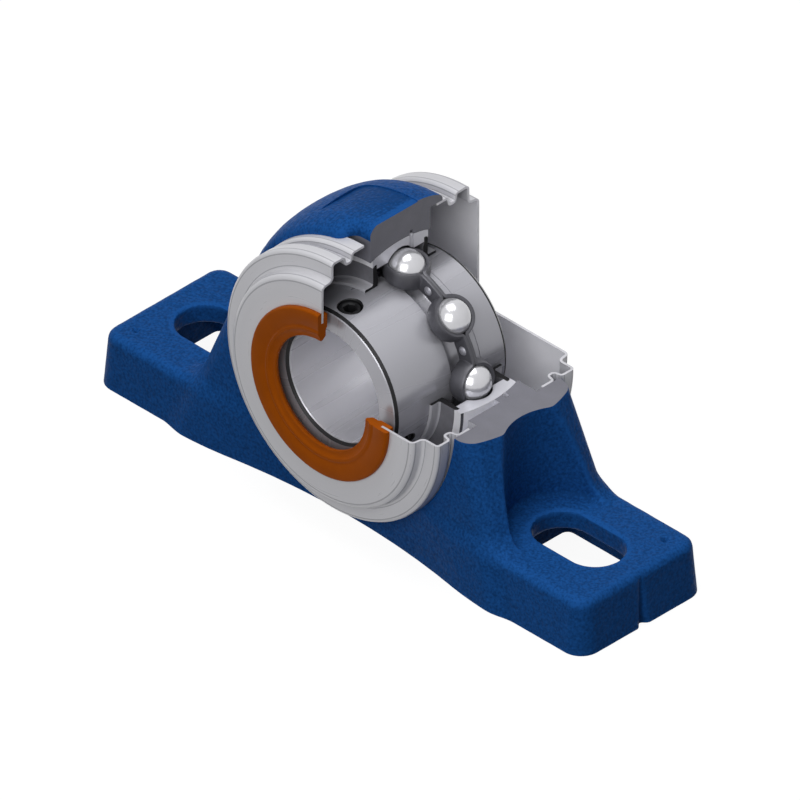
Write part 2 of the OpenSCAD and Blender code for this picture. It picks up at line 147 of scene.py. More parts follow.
def around(angle: float, radius: float, y: float) -> Point:
    """The point at an angle about the shaft, in degrees from the top toward +X."""
    a = math.radians(angle)
    return radius * math.sin(a), y, SIZES.shaft_h + radius * math.cos(a)


def make_object(name: str, points: list, faces: list) -> Object:
    """Makes a mesh object from points in millimetres.

    Args:
        name: Name of the object.
        points: Corner points in millimetres.
        faces: Lists of point indices.

    Returns:
        The new object, with merged corners and faces turned outward.
    """
    mesh = bpy.data.meshes.new(name)
    scaled = (np.asarray(points, float) * MM).tolist()
    mesh.from_pydata(scaled, [], [list(map(int, f)) for f in faces])
    made = bmesh.new()
    made.from_mesh(mesh)
    bmesh.ops.remove_doubles(made, verts=made.verts, dist=1e-7)
    bmesh.ops.recalc_face_normals(made, faces=made.faces)
    made.to_mesh(mesh)
    made.free()
    obj = bpy.data.objects.new(name, mesh)
    bpy.context.scene.collection.objects.link(obj)
    return obj


def add_look(obj: Object, look: Material) -> int:
    """Adds a material to an object and returns its slot's number."""
    obj.data.materials.append(look)
    return len(obj.data.materials) - 1


def spot(face: bpy.types.MeshPolygon) -> tuple[float, float, float]:
    """A face's radius about the shaft, place along it and height above it, in millimetres."""
    x, y, z = face.center / MM
    rise = z - SIZES.shaft_h
    return math.hypot(x, rise), y, rise


def shade(obj: Object, sharp: float = 28.0) -> None:
    """Shades an object smooth, with edges sharper than an angle in degrees kept."""
    obj.data.shade_smooth()
    obj.data.set_sharp_from_angle(angle=math.radians(sharp))


def finished(obj: Object) -> Object:
    """Turns an object's modifiers into plain mesh and removes them."""
    graph = bpy.context.evaluated_depsgraph_get()
    old = obj.data
    mesh = bpy.data.meshes.new_from_object(obj.evaluated_get(graph), depsgraph=graph)
    obj.modifiers.clear()
    obj.data = mesh
    mesh.name = obj.name
    bpy.data.meshes.remove(old)
    return obj


def settle(obj: Object, body: str, slot: str, *nodes: str) -> None:
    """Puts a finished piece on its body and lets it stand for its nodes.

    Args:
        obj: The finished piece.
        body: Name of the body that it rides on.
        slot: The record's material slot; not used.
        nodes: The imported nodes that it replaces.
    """
    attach(obj, body)
    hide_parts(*nodes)
    LOG.info("%s: %d faces on %s", obj.name, len(obj.data.polygons), body)


def grid_faces(rows: int, columns: int) -> list[list[int]]:
    """Quads between neighbouring rows of points, each row closed on itself."""
    faces = []
    for row in range(rows - 1):
        low = row * columns
        high = low + columns
        for i in range(columns):
            after = (i + 1) % columns
            faces.append([low + i, low + after, high + after, high + i])
    return faces


def loft(name: str, rings: list[Ring]) -> Object:
    """Joins rings of points with as many points each into a closed skin.

    Args:
        name: Name of the object.
        rings: Closed rings from one end to the other.

    Returns:
        The new object, its two ends closed by faces.
    """
    columns = len(rings[0])
    points = [p for ring in rings for p in ring]
    ends = [list(range(columns)), list(range(len(points) - columns, len(points)))]
    return make_object(name, points, grid_faces(len(rings), columns) + ends)


def turned(
    name: str, outline: Outline, extent: Extent, finish: Material,
    cut: Material | None = None, segments: int = 192,
) -> Object:
    """Turns a closed outline about the shaft.

    Args:
        name: Name of the object.
        outline: Points of radius and place along the shaft.
        extent: A whole turn, or three quarters with two section faces.
        finish: Material of the turned faces.
        cut: Material of the section faces.
        segments: Faces in a whole turn.

    Returns:
        The turned object.
    """
    whole = extent is Extent.WHOLE
    columns = segments if whole else segments * 3 // 4 + 1
    first = 0.0 if whole else 90.0
    turn = 360.0 / segments
    count = len(outline)
    points = []
    for column in range(columns):
        points += [around(first + column * turn, r, y) for r, y in outline]
    total = len(points)
    quads = grid_faces(columns + 1 if whole else columns, count)
    faces = [[i % total for i in quad] for quad in quads]
    if not whole:
        faces.append(list(range(count)))
        faces.append(list(range(total - count, total)))
    obj = make_object(name, points, faces)
    obj.data.materials.append(finish)
    if cut is not None:
        obj.data.materials.append(cut)
        mark_section(obj)
    shade(obj)
    return obj


def mark_section(obj: Object) -> None:
    """Gives the flat faces on the two section planes the second material."""
    height = SIZES.shaft_h * MM
    near = 1e-6
    for face in obj.data.polygons:
        corners = [obj.data.vertices[i].co for i in face.vertices]
        upright = all(abs(c.x) < near and c.z > height - near for c in corners)
        level = all(abs(c.z - height) < near and c.x > -near for c in corners)
        if upright or level:
            face.material_index = 1


def prism(name: str, outline: Outline, low: float, high: float, axis: str) -> Object:
    """Extrudes a closed outline along Y or Z, for use as a cutter.

    Args:
        name: Name of the object.
        outline: Points in the plane across the axis, X first.
        low: Start along the axis.
        high: End along the axis.
        axis: "y" or "z".

    Returns:
        The closed prism.
    """
    def place(point: tuple[float, float], along: float) -> Point:
        """Puts an outline point at a place along the axis."""
        if axis == "y":
            return point[0], along, point[1]
        return point[0], point[1], along

    return loft(name, [[place(p, low) for p in outline], [place(p, high) for p in outline]])


def carve(obj: Object, cutter: Object) -> None:
    """Takes a cutter's volume out of an object, with the cutter's material on the new faces."""
    step = obj.modifiers.new("carve", "BOOLEAN")
    step.operation = "DIFFERENCE"
    step.object = cutter
    step.solver = "EXACT"
    step.material_mode = "TRANSFER"
    finished(obj)
    bpy.data.objects.remove(cutter)


def circle(radius: float, columns: int) -> Outline:
    """Points on a circle about the origin, each once."""
    turns = [math.tau * i / columns for i in range(columns)]
    return [(radius * math.cos(a), radius * math.sin(a)) for a in turns]


def arc(cx: float, cy: float, r: float, start: float, end: float, steps: int) -> Outline:
    """Points of an arc from one angle to another, in degrees."""
    angles = [math.radians(start + (end - start) * i / steps) for i in range(steps + 1)]
    return [(cx + r * math.cos(a), cy + r * math.sin(a)) for a in angles]


def bent(path: Outline, radii: list[float], steps: int = BEND_STEPS) -> Outline:
    """Rounds the inner corners of a path.

    Args:
        path: Corner points.
        radii: Radius of each inner corner.
        steps: Pieces in each rounded corner.

    Returns:
        The path with arcs in place of its inner corners.
    """
    rounded = [path[0]]
    for i, r in enumerate(radii, start=1):
        before, corner, after = (Vector(path[j]) for j in (i - 1, i, i + 1))
        u = (before - corner).normalized()
        w = (after - corner).normalized()
        half = u.angle(w) / 2
        centre = corner + (u + w).normalized() * r / math.sin(half)
        start = corner + u * r / math.tan(half) - centre
        sweep = math.pi - 2 * half
        if u.x * w.y - u.y * w.x > 0:
            sweep = -sweep
        for k in range(steps + 1):
            a = sweep * k / steps
            x = start.x * math.cos(a) - start.y * math.sin(a)
            y = start.x * math.sin(a) + start.y * math.cos(a)
            rounded.append((centre.x + x, centre.y + y))
    rounded.append(path[-1])
    return rounded


def sheet(path: Outline, thickness: float) -> Outline:
    """Closed outline of a sheet that follows a path on both sides."""
    points = [Vector(p) for p in path]
    sides: list[Outline] = [[], []]
    for i, point in enumerate(points):
        before = points[max(i, 1)] - points[max(i, 1) - 1]
        after = points[min(i, len(points) - 2) + 1] - points[min(i, len(points) - 2)]
        one = Vector((-before.y, before.x)).normalized()
        two = Vector((-after.y, after.x)).normalized()
        mitre = (one + two).normalized()
        reach = mitre * thickness / 2 / mitre.dot(two)
        sides[0].append((max(point.x + reach.x, 0.0), point.y + reach.y))
        sides[1].append((max(point.x - reach.x, 0.0), point.y - reach.y))
    return sides[0] + sides[1][::-1]


class Nodes:
    """Short ways to add and join shader or geometry nodes in one tree."""

    def __init__(self, tree: bpy.types.NodeTree) -> None:
        """Keeps the tree that nodes are added to."""
        self.tree = tree

    def add(self, kind: str, inputs: dict | None = None, **settings: object) -> bpy.types.Node:
        """Adds a node.

        Args:
            kind: The node's type name.
            inputs: Values or output sockets by the input's name or number.
            settings: Properties of the node.

        Returns:
            The new node.
        """
        node = self.tree.nodes.new(kind)
        for key, value in settings.items():
            setattr(node, key, value)
        for key, value in (inputs or {}).items():
            socket = node.inputs[key]
            if isinstance(value, Socket):
                self.tree.links.new(value, socket)
            else:
                socket.default_value = value
        return node

    def math(self, operation: str, *values: object) -> Socket:
        """Adds a math node and returns its output."""
        node = self.add("ShaderNodeMath", dict(enumerate(values)), operation=operation)
        return node.outputs[0]

    def noise(self, place: Socket, scale: float, detail: float = 3.0) -> Socket:
        """Adds a noise texture at a place and returns its value."""
        inputs = {"Vector": place, "Scale": scale, "Detail": detail}
        return self.add("ShaderNodeTexNoise", inputs).outputs["Fac"]

    def spread(self, value: Socket, low: float, high: float) -> Socket:
        """Maps a noise value of about 0.3 to 0.7 onto a range."""
        inputs = {"Value": value, "From Min": 0.3, "From Max": 0.7, "To Min": low, "To Max": high}
        return self.add("ShaderNodeMapRange", inputs).outputs["Result"]


def linear(red: float, green: float, blue: float) -> tuple[float, float, float, float]:
    """A display colour of 0 to 255 as linear light."""
    def one(v: float) -> float:
        """Linear value of one channel."""
        s = v / 255
        return s / 12.92 if s <= 0.04045 else ((s + 0.055) / 1.055) ** 2.4

    return one(red), one(green), one(blue), 1.0


@dataclass(frozen=True)
class Finish:
    """A finish with mottled colour, uneven gloss and fine relief.

    The colour and the tint of its reflections are display colours from 0 to 255. Grain is
    the size of the relief's features and relief its height, in millimetres.
    """

    name: str
    colour: tuple[float, float, float]
    metallic: float = 0.0
    roughness: float = 0.5
    uneven: float = 0.06
    mottle: float = 0.12
    grain: float = 1.0
    relief: float = 0.02
    specular: float = 0.5
    tint: tuple[float, float, float] = (255, 255, 255)
    cloud_size: float = 9.0

    def place(self, nodes: Nodes) -> Socket:
        """The coordinates that the grain is laid out in."""
        return nodes.add("ShaderNodeTexCoord").outputs["Object"]

    def height(self, nodes: Nodes, place: Socket) -> Socket:
        """The relief, as a value of about 0 to 1."""
        return nodes.noise(place, 1 / (self.grain * MM), 4.0)

    def cloud(self, nodes: Nodes, place: Socket) -> Socket:
        """The pattern that mottles the colour, as a value of about 0 to 1."""
        return nodes.noise(place, 1 / (self.cloud_size * self.grain * MM), 2.0)

    def material(self) -> Material:
        """Builds the material.

        Returns:
            A node material of this finish.
        """
        made = bpy.data.materials.new(self.name)
        made.use_nodes = True
        nodes = Nodes(made.node_tree)
        shader = made.node_tree.nodes["Principled BSDF"]
        place = self.place(nodes)
        fine = self.height(nodes, place)
        colour = linear(*self.colour)
        tone = nodes.spread(self.cloud(nodes, place), 1 - self.mottle, 1 + self.mottle)
        tinted = nodes.add(
            "ShaderNodeVectorMath", {0: colour[:3], "Scale": tone}, operation="SCALE")
        links = made.node_tree.links
        links.new(tinted.outputs["Vector"], shader.inputs["Base Color"])
        gloss = nodes.spread(fine, self.roughness - self.uneven, self.roughness + self.uneven)
        links.new(gloss, shader.inputs["Roughness"])
        shader.inputs["Metallic"].default_value = self.metallic
        shader.inputs["Specular IOR Level"].default_value = self.specular
        shader.inputs["Specular Tint"].default_value = linear(*self.tint)
        bump = nodes.add(
            "ShaderNodeBump", {"Height": fine, "Distance": self.relief * MM, "Strength": 1.0})
        links.new(bump.outputs["Normal"], shader.inputs["Normal"])
        return made


@dataclass(frozen=True)
class TurnedFinish(Finish):
    """A finish with fine rings about the shaft, as a lathe or grinder leaves."""

    stretch: float = 0.06

    def place(self, nodes: Nodes) -> Socket:
        """Coordinates of radius, place along the shaft and, much stretched, angle."""
        where = nodes.add("ShaderNodeTexCoord").outputs["Object"]
        split = nodes.add("ShaderNodeSeparateXYZ", {0: where})
        rise = nodes.math("SUBTRACT", split.outputs["Z"], SIZES.shaft_h * MM)
        across = nodes.math("MULTIPLY", split.outputs["X"], split.outputs["X"])
        upward = nodes.math("MULTIPLY", rise, rise)
        radius = nodes.math("SQRT", nodes.math("ADD", across, upward))
        turn_x = nodes.math("MULTIPLY", split.outputs["X"], self.stretch)
        turn_z = nodes.math("MULTIPLY", rise, self.stretch)
        slope = nodes.math("ADD", radius, turn_x)
        side = nodes.math("ADD", split.outputs["Y"], turn_z)
        return nodes.add("ShaderNodeCombineXYZ", {"X": slope, "Y": side, "Z": turn_z}).outputs[0]


@dataclass(frozen=True)
class AxialFinish(Finish):
    """A finish with soft streaks along the shaft: fine ridges as honing leaves, and broad bands of
    painted reflection and shade.
    """

    streaks: float = 4.0
    band_size: float = 4.0
    stretch: float = 0.02

    def place(self, nodes: Nodes) -> Socket:
        """Coordinates of direction about the shaft and, much stretched, place along it."""
        where = nodes.add("ShaderNodeTexCoord").outputs["Object"]
        split = nodes.add("ShaderNodeSeparateXYZ", {0: where})
        rise = nodes.math("SUBTRACT", split.outputs["Z"], SIZES.shaft_h * MM)
        across = nodes.add("ShaderNodeCombineXYZ", {"X": split.outputs["X"], "Z": rise})
        way = nodes.add("ShaderNodeVectorMath", {0: across.outputs[0]}, operation="NORMALIZE")
        spread = nodes.add(
            "ShaderNodeVectorMath", {0: way.outputs[0], "Scale": self.streaks * MM},
            operation="SCALE")
        along = nodes.add("ShaderNodeCombineXYZ", {
            "Y": nodes.math("MULTIPLY", split.outputs["Y"], self.stretch)})
        return nodes.add("ShaderNodeVectorMath", {
            0: spread.outputs[0], 1: along.outputs[0]}, operation="ADD").outputs[0]

    def height(self, nodes: Nodes, place: Socket) -> Socket:
        """Soft ridges without fine scratches."""
        return nodes.noise(place, 1 / (self.grain * MM), 0.0)

    def cloud(self, nodes: Nodes, place: Socket) -> Socket:
        """A few broad bands of light and shade."""
        return nodes.noise(place, 1 / (self.band_size * self.grain * MM), 0.0)


@dataclass(frozen=True)
class CastPaint(Finish):
    """Paint over a sand casting: pebbled relief under a satin coat, with painted highlights on convex
    edges and painted shade in concave corners.
    """

    # Strength of the painted edge highlight and corner shade from pointiness, and the cap on the
    # highlight.
    edge: float = 6.0
    edge_highlight_limit: float = 0.6
    speck: float = 0.6

    def height(self, nodes: Nodes, place: Socket) -> Socket:
        """Round pebbles, softened by the paint."""
        return nodes.noise(place, 1 / (self.grain * MM), 0.0)

    def cloud(self, nodes: Nodes, place: Socket) -> Socket:
        """Fine specks, with a painted highlight on convex edges and painted shade in concave corners.
        """
        specks = nodes.noise(place, 1 / (self.speck * self.grain * MM), 1.0)
        # Pointiness lightens convex edges as a painted highlight and darkens concave corners as
        # painted shade.
        bend = nodes.add("ShaderNodeNewGeometry").outputs["Pointiness"]
        edge = nodes.math("MULTIPLY", nodes.math("SUBTRACT", bend, 0.5), self.edge)
        return nodes.math("ADD", specks, nodes.math("MINIMUM", edge, self.edge_highlight_limit))


class Finishes:
    """Every material of the unit, made once."""

    def __init__(self) -> None:
        """Builds the materials."""
        self.paint = CastPaint(
            "cast_blue_paint", (24, 72, 133), roughness=0.5, grain=1.1, relief=0.13,
            mottle=0.28, specular=0.04, tint=(90, 150, 255)).material()
        # Machined iron, its colour raised as painted light so that the shaded slots and recesses it
        # lines show pale.
        self.machined = TurnedFinish(
            "machined_iron", (222, 222, 230), metallic=0.3, roughness=0.4, grain=0.4,
            relief=0.003, mottle=0.03).material()
        # Sawn section faces of the iron, a finish also laid on machined faces above the shaft as
        # painted shade.
        self.cut_iron = Finish(
            "cut_iron", (119, 119, 128), metallic=0.06, roughness=0.5, grain=0.5,
            relief=0.008, mottle=0.05, specular=0.3).material()
        self.ring = TurnedFinish(
            "ground_ring_steel", (198, 198, 205), metallic=0.3, roughness=0.34, grain=0.3,
            relief=0.002, mottle=0.03).material()
        # Honed ring steel with painted bands of reflection; the shaft hole's copy is lighter still,
        # as painted light for the shade inside the ring.
        self.honed = AxialFinish(
            "honed_ring_steel", (168, 168, 175), metallic=0.35, roughness=0.3, grain=1.0,
            relief=0.0004, mottle=0.2).material()
        self.bore_painted_light = AxialFinish(
            "honed_bore_steel", (226, 226, 232), metallic=0.3, roughness=0.3, grain=1.0,
            relief=0.0004, mottle=0.2).material()
        self.cut_ring = Finish(
            "cut_ring_steel", (200, 200, 208), metallic=0.3, roughness=0.4, grain=0.4,
            relief=0.006, mottle=0.04).material()
        self.ball = Finish(
            "polished_ball_steel", (208, 208, 212), metallic=0.6, roughness=0.2,
            uneven=0.02, mottle=0.05, grain=0.6, relief=0.001).material()
        self.cage = Finish(
            "pressed_cage_steel", (82, 82, 88), metallic=0.3, roughness=0.42, grain=0.5,
            relief=0.01).material()
        self.rivet = Finish(
            "rivet_steel", (160, 160, 168), metallic=0.4, roughness=0.35, grain=0.4,
            relief=0.01).material()
        # Oxide steel of the set screws and screw holes, also laid in thin lines on the inner ring's
        # chamfers as painted shade.
        self.black_oxide_and_shade = Finish(
            "black_oxide_steel", (34, 34, 36), metallic=0.2, roughness=0.4, grain=0.4,
            relief=0.01, specular=0.2).material()
        # Steel of the seals' sleeves, its colour raised as painted light for the shaded hollow under
        # the covers.
        self.sleeve = Finish(
            "steel_seal_sleeve", (186, 186, 192), metallic=0.2, roughness=0.4, grain=0.4,
            relief=0.003, mottle=0.04).material()
        self.rubber = Finish(
            "black_seal_rubber", (116, 116, 122), roughness=0.55, grain=0.4, relief=0.01,
            specular=0.2).material()
        self.cut_rubber = Finish(
            "cut_seal_rubber", (30, 30, 32), roughness=0.6, grain=0.4, relief=0.01,
            specular=0.1).material()
        self.cover = TurnedFinish(
            "zinc_plated_sheet", (208, 208, 213), metallic=0.12, roughness=0.33, grain=0.5,
            relief=0.004, mottle=0.03).material()
        # A pale finish laid as painted light on the rear cover's inside wall and on the outer ring's
        # outside and ends.
        self.inside = Finish(
            "zinc_plated_inside", (240, 240, 245), metallic=0.05, roughness=0.45, grain=0.5,
            relief=0.003, mottle=0.02).material()
        # Plated sheet laid as painted shade in thin lines where the covers' bends begin.
        self.bend_shade = Finish(
            "zinc_plated_fold", (166, 166, 172), metallic=0.12, roughness=0.4, grain=0.5,
            relief=0.002, mottle=0.03).material()
        self.cut_cover = Finish(
            "cut_sheet", (206, 206, 212), metallic=0.3, roughness=0.4, grain=0.4,
            relief=0.006).material()
        self.orange = Finish(
            "orange_seal_rubber", (160, 78, 12), roughness=0.42, grain=0.5, relief=0.01,
            mottle=0.05, specular=0.05, tint=(255, 150, 70)).material()


def round_and(a: Field, b: Field, r: float) -> Field:
    """Common volume of two distance fields, its edge rounded."""
    return np.minimum(np.maximum(a, b), -r) + np.hypot(np.maximum(a + r, 0), np.maximum(b + r, 0))


def round_or(a: Field, b: Field, r: float) -> Field:
    """Joined volume of two distance fields, its inner corner filleted."""
    return np.maximum(np.minimum(a, b), r) - np.hypot(np.maximum(r - a, 0), np.maximum(r - b, 0))


def surface_nets(values: Field) -> tuple[Field, Field]:
    """Finds the zero surface of a sampled distance field.

    Args:
        values: Samples on a grid, negative inside, positive at the grid's border.

    Returns:
        Points in grid steps, and quads of point indices.
    """
    cells = np.array(values.shape) - 1
    total = int(cells.prod())
    sums = np.zeros((3, total))
    hits = np.zeros(total)
    quads = []
    for axis in range(3):
        lower = np.delete(values, -1, axis)
        upper = np.delete(values, 0, axis)
        edges = np.argwhere((lower < 0) != (upper < 0))
        low = lower[tuple(edges.T)]
        high = upper[tuple(edges.T)]
        crossing = edges.astype(float)
        crossing[:, axis] += low / (low - high)
        one, two = (i for i in range(3) if i != axis)
        ring = []
        for step_one, step_two in ((0, 0), (1, 0), (1, 1), (0, 1)):
            cell = edges.copy()
            cell[:, one] -= step_one
            cell[:, two] -= step_two
            key = (cell[:, 0] * cells[1] + cell[:, 1]) * cells[2] + cell[:, 2]
            ring.append(key)
            hits += np.bincount(key, minlength=total)
            for k in range(3):
                sums[k] += np.bincount(key, crossing[:, k], minlength=total)
        quads.append(np.stack(ring, 1))
    used = np.flatnonzero(hits)
    number = np.zeros(total, int)
    number[used] = np.arange(len(used))
    return (sums[:, used] / hits[used]).T, number[np.concatenate(quads)]


@dataclass
class Casting:
    """The housing: one casting, painted, then bored, slotted and cut open."""

    foot_h: float = 14.7
    corner_r: float = 5.4
    foot_round: float = 2.0
    waist_d: float = 3.5
    waist_l: float = 78.0
    rim_w: float = 0.6
    crown_h: float = 3.8
    recess_d: float = 4.1
    flank_lean: float = 25.0
    crest_w: float = 8.0
    crest_drop: float = 6.3
    corner_lean: float = 20.5
    flank_round: float = 3.0
    crest_round: float = 1.6
    shoulder_fade: float = 0.19
    foot_fillet: float = 4.5
    bolt_pitch: float = 121.0
    slot_w: float = 15.0
    slot_l: float = 26.0
    slot_round: float = 0.7
    washer_r: float = 14.2
    washer_fillet: float = 1.5
    step_gap: float = 0.8
    recess_step: float = 4.7
    load_step: float = 1.8
    load_end: float = 0.5
    groove_y: float = 3.8
    groove_w: float = 1.4
    groove_d: float = 1.4
    groove_taper: float = 0.7
    notch_w: float = 11.5
    notch_corner: float = 2.5
    notch_round: float = 2.4
    notch_rise: float = 3.0
    hollow_wall: float = 6.1
    hollow_past: float = 6.0
    hollow_r: float = 2.0
    web_t: float = 5.4
    mark_w: float = 3.4
    dowel_r: float = 1.1
    dowel_tip: float = 0.02
    dowel_in: float = 7.0
    dowel_y: float = 14.0
    pad_l: float = 38.0
    pad_back: float = 5.8
    pad_slope: float = 0.2
    pad_d: float = 0.7
    pad_corner: float = 3.0
    seat_gap: float = 0.06
    upturn: float = 0.1
    grid: float = 0.6
    wave: float = 0.015
    spare: float = 2.0
    far: float = 120.0

    bore_r: float = field(init=False)
    step_y: float = field(init=False)
    rim_r: float = field(init=False)
    head_w: float = field(init=False)
    head_r: float = field(init=False)
    crest_r: float = field(init=False)
    draft: float = field(init=False)

    def __post_init__(self) -> None:
        """Works out the sizes that follow from the others."""
        self.bore_r = SIZES.ring_r + self.recess_step
        self.step_y = SIZES.ring_w / 2 + self.step_gap
        self.rim_r = self.bore_r + self.rim_w
        self.head_w = 2 * (self.step_y + self.recess_d)
        self.head_r = self.rim_r + self.crown_h
        share = 2 * self.crest_w / self.head_w
        self.crest_r = self.rim_r + self.crown_h * math.sqrt(1 - share ** 2)
        self.draft = (SIZES.base_w - self.head_w) / 2 / (SIZES.shaft_h + self.head_r)

    def feet(self, x: Field, y: Field, z: Field) -> Field:
        """Distance to the drafted slab of the two feet."""
        qx = x - (SIZES.base_l / 2 - self.corner_r)
        qy = y - (SIZES.base_w / 2 - self.corner_r)
        corner = np.hypot(np.maximum(qx, 0), np.maximum(qy, 0))
        plan = corner + np.minimum(np.maximum(qx, qy), 0) - self.corner_r + self.draft * z
        return round_and(plan, z - self.foot_h, self.foot_round)

    def head(self, y: Field, radial: Field) -> Field:
        """Distance to the crowned head."""
        half = self.head_w / 2
        rise = np.maximum(radial - self.rim_r, 0) / self.crown_h
        along = y / half
        size = np.hypot(rise, along)
        slope = np.hypot(rise / self.crown_h, along / half)
        return (size - 1) * size / np.maximum(slope, 1e-6)

    def flanks(self, x: Field, y: Field, z: Field) -> Field:
        """Distance to the two leaning flanks with their crests."""
        rise = z - SIZES.shaft_h
        lean = math.radians(self.flank_lean)
        crest = x * math.cos(lean) + rise * math.sin(lean) - self.crest_r
        above = rise * math.cos(lean) - x * math.sin(lean)
        half_w = SIZES.base_w / 2 - self.draft * z - self.shoulder_fade * np.maximum(rise, 0)
        foot_x = (self.crest_r + SIZES.shaft_h * math.sin(lean)) / math.cos(lean)
        crest_x = foot_x - z * math.tan(lean)
        lean_back = math.tan(math.radians(self.corner_lean))
        corner_x = foot_x - self.crest_drop - self.flank_round - z * lean_back
        dx = corner_x - crest_x
        dy = half_w - self.flank_round - self.crest_w
        reach = np.hypot(dx, dy)
        heading = np.arctan2(dy, dx) - np.arcsin(np.minimum(self.flank_round / reach, 1))
        cheek = (x - crest_x) * np.sin(heading) - (y - self.crest_w) * np.cos(heading)
        body = round_and(cheek, y - half_w, self.flank_round)
        body = round_and(body, crest, self.crest_round)
        return np.maximum(body, above)

    def hollow(self, ax: Field, ay: Field, z: Field) -> Field:
        """Distance to the hollow under each foot."""
        inner = (self.bolt_pitch - self.slot_l) / 2 - self.hollow_past
        outer = SIZES.base_l / 2 - self.hollow_wall
        qx = np.abs(ax - (inner + outer) / 2) - (outer - inner) / 2 + self.hollow_r
        qy = ay - SIZES.base_w / 2 + self.hollow_wall + self.hollow_r
        plan = np.hypot(np.maximum(qx, 0), np.maximum(qy, 0)) - self.hollow_r
        plan = plan + np.minimum(np.maximum(qx, qy), 0)
        return round_and(plan, z - self.foot_h + self.web_t, self.hollow_r)

    def raw(self, x: Field, y: Field, z: Field) -> Field:
        """Distance to the casting before any machining.

        Args:
            x: Places along the base.
            y: Places along the shaft.
            z: Heights.

        Returns:
            Signed distances, negative inside.
        """
        ax = np.abs(x)
        ay = np.abs(y)
        radial = np.hypot(x, z - SIZES.shaft_h)
        feet = self.feet(ax, ay, z)
        upper = round_or(self.head(ay, radial), self.flanks(ax, ay, z), self.crest_round)
        whole = round_or(upper, feet, self.foot_fillet)
        room = np.hypot(ax - (self.bolt_pitch - self.slot_l + self.slot_w) / 2, y) - self.washer_r
        room = round_and(room, self.foot_h - z, self.washer_fillet)
        whole = np.minimum(round_and(whole, -room, self.slot_round), feet)
        waist_r = (self.waist_l ** 2 / 4 + self.waist_d ** 2) / (2 * self.waist_d)
        waist = np.hypot(x, ay - SIZES.base_w / 2 - waist_r + self.waist_d) - waist_r
        whole = round_and(whole, -np.maximum(waist, z - SIZES.shaft_h), self.foot_round)
        whole = round_and(whole, -self.hollow(ax, ay, z), self.slot_round)
        ends = np.maximum(np.abs(ax - self.bolt_pitch / 2) - (self.slot_l - self.slot_w) / 2, 0)
        whole = round_and(whole, self.slot_w / 2 - np.hypot(ends, y), self.slot_round)
        mark = (np.abs(ax - SIZES.base_l / 2) + ay - self.mark_w / 2) / math.sqrt(2)
        whole = np.maximum(whole, -mark)
        notch = round_and(ax - self.notch_w / 2, y + self.step_y, self.notch_corner)
        notch = np.maximum(notch, SIZES.shaft_h + self.bore_r - self.notch_rise - z)
        whole = round_and(whole, -notch, self.notch_round)
        whole = whole + self.wave * self.unevenness(x, y, z)
        return np.maximum(whole, -z - self.spare)

    @staticmethod
    def unevenness(x: Field, y: Field, z: Field) -> Field:
        """Slow waves of about -1 to 1, as sand leaves in a casting."""
        seed = 7
        waves = 10
        slowest = 0.9
        fastest = 1.8
        rng = np.random.default_rng(seed)
        total = 0.0
        for _ in range(waves):
            way = rng.normal(size=3)
            way *= rng.uniform(slowest, fastest) / np.linalg.norm(way)
            total = total + np.sin(way[0] * x + way[1] * y + way[2] * z + rng.uniform(0, 6.28))
        return total / math.sqrt(waves)

    def mesh(self, paint: Material) -> Object:
        """Meshes the raw casting.

        Args:
            paint: Material of the cast skin.

        Returns:
            The closed casting, before machining.
        """
        edge = 3 * self.grid
        reach = np.array([SIZES.base_l / 2, SIZES.base_w / 2, SIZES.shaft_h + self.head_r]) + edge
        low = np.array([-reach[0], -reach[1], -edge - self.spare])
        axes = [np.arange(low[i], reach[i] + self.grid, self.grid) for i in range(3)]
        x, y, z = np.meshgrid(*axes, indexing="ij", sparse=True)
        points, quads = surface_nets(self.raw(x, y, z))
        obj = make_object("housing_casting", points * self.grid + low, quads)
        obj.data.materials.append(paint)
        return obj

    def lathe_outline(self) -> Outline:
        """Outline that the boring tool clears: recesses, spherical seat and grease groove."""
        seat_r = SIZES.ring_r + self.seat_gap
        edge = math.degrees(math.asin(self.step_y / seat_r))
        low = self.groove_y - self.groove_w / 2
        high = self.groove_y + self.groove_w / 2
        first = math.degrees(math.asin(low / seat_r))
        second = math.degrees(math.asin(high / seat_r))
        floor = math.sqrt(seat_r ** 2 - self.groove_y ** 2) + self.groove_d
        seat = arc(0, 0, seat_r, -edge, first, steps=24)
        inner_half = self.groove_w * self.groove_taper / 2
        groove = [(floor, self.groove_y - inner_half), (floor, self.groove_y + inner_half)]
        rest = arc(0, 0, seat_r, second, edge, steps=8)
        front = [(0, -self.far), (self.bore_r, -self.far), (self.bore_r, -self.step_y)]
        back = [(self.bore_r, self.step_y), (self.bore_r, self.far), (0, self.far)]
        return front + seat + groove + rest + back

    def loading_outline(self) -> Outline:
        """Outline across the shaft of the slots that let the ring in edgewise."""
        r = SIZES.ring_r + self.load_step
        half = SIZES.ring_w / 2 + 4 * self.seat_gap
        angle = math.degrees(math.asin(half / r))
        right = arc(0, SIZES.shaft_h, r, -angle, angle, steps=12)
        left = arc(0, SIZES.shaft_h, r, 180 - angle, 180 + angle, steps=12)
        return right + left

    def pad_cutter(self) -> Object:
        """A cutter for the shallow bare recess on top of the head, open to the front."""
        half = self.pad_l / 2
        floor_r = self.head_r - self.pad_d
        steps = 48
        rings = []
        for i in range(steps + 1):
            x = -half * math.cos(math.pi * i / steps)
            past = max(abs(x) - half + self.pad_corner, 0.0)
            trim = self.pad_corner - math.sqrt(self.pad_corner ** 2 - past ** 2)
            back = self.pad_back - trim
            low = SIZES.shaft_h + math.sqrt(floor_r ** 2 - x ** 2)
            high = low + 2 * self.pad_d
            rings.append([
                (x, -self.step_y, low), (x, back, low), (x, back + 2 * self.pad_slope, high),
                (x, back + 2 * self.pad_slope, self.far), (x, -self.step_y, self.far)])
        return loft("pad_cutter", rings)

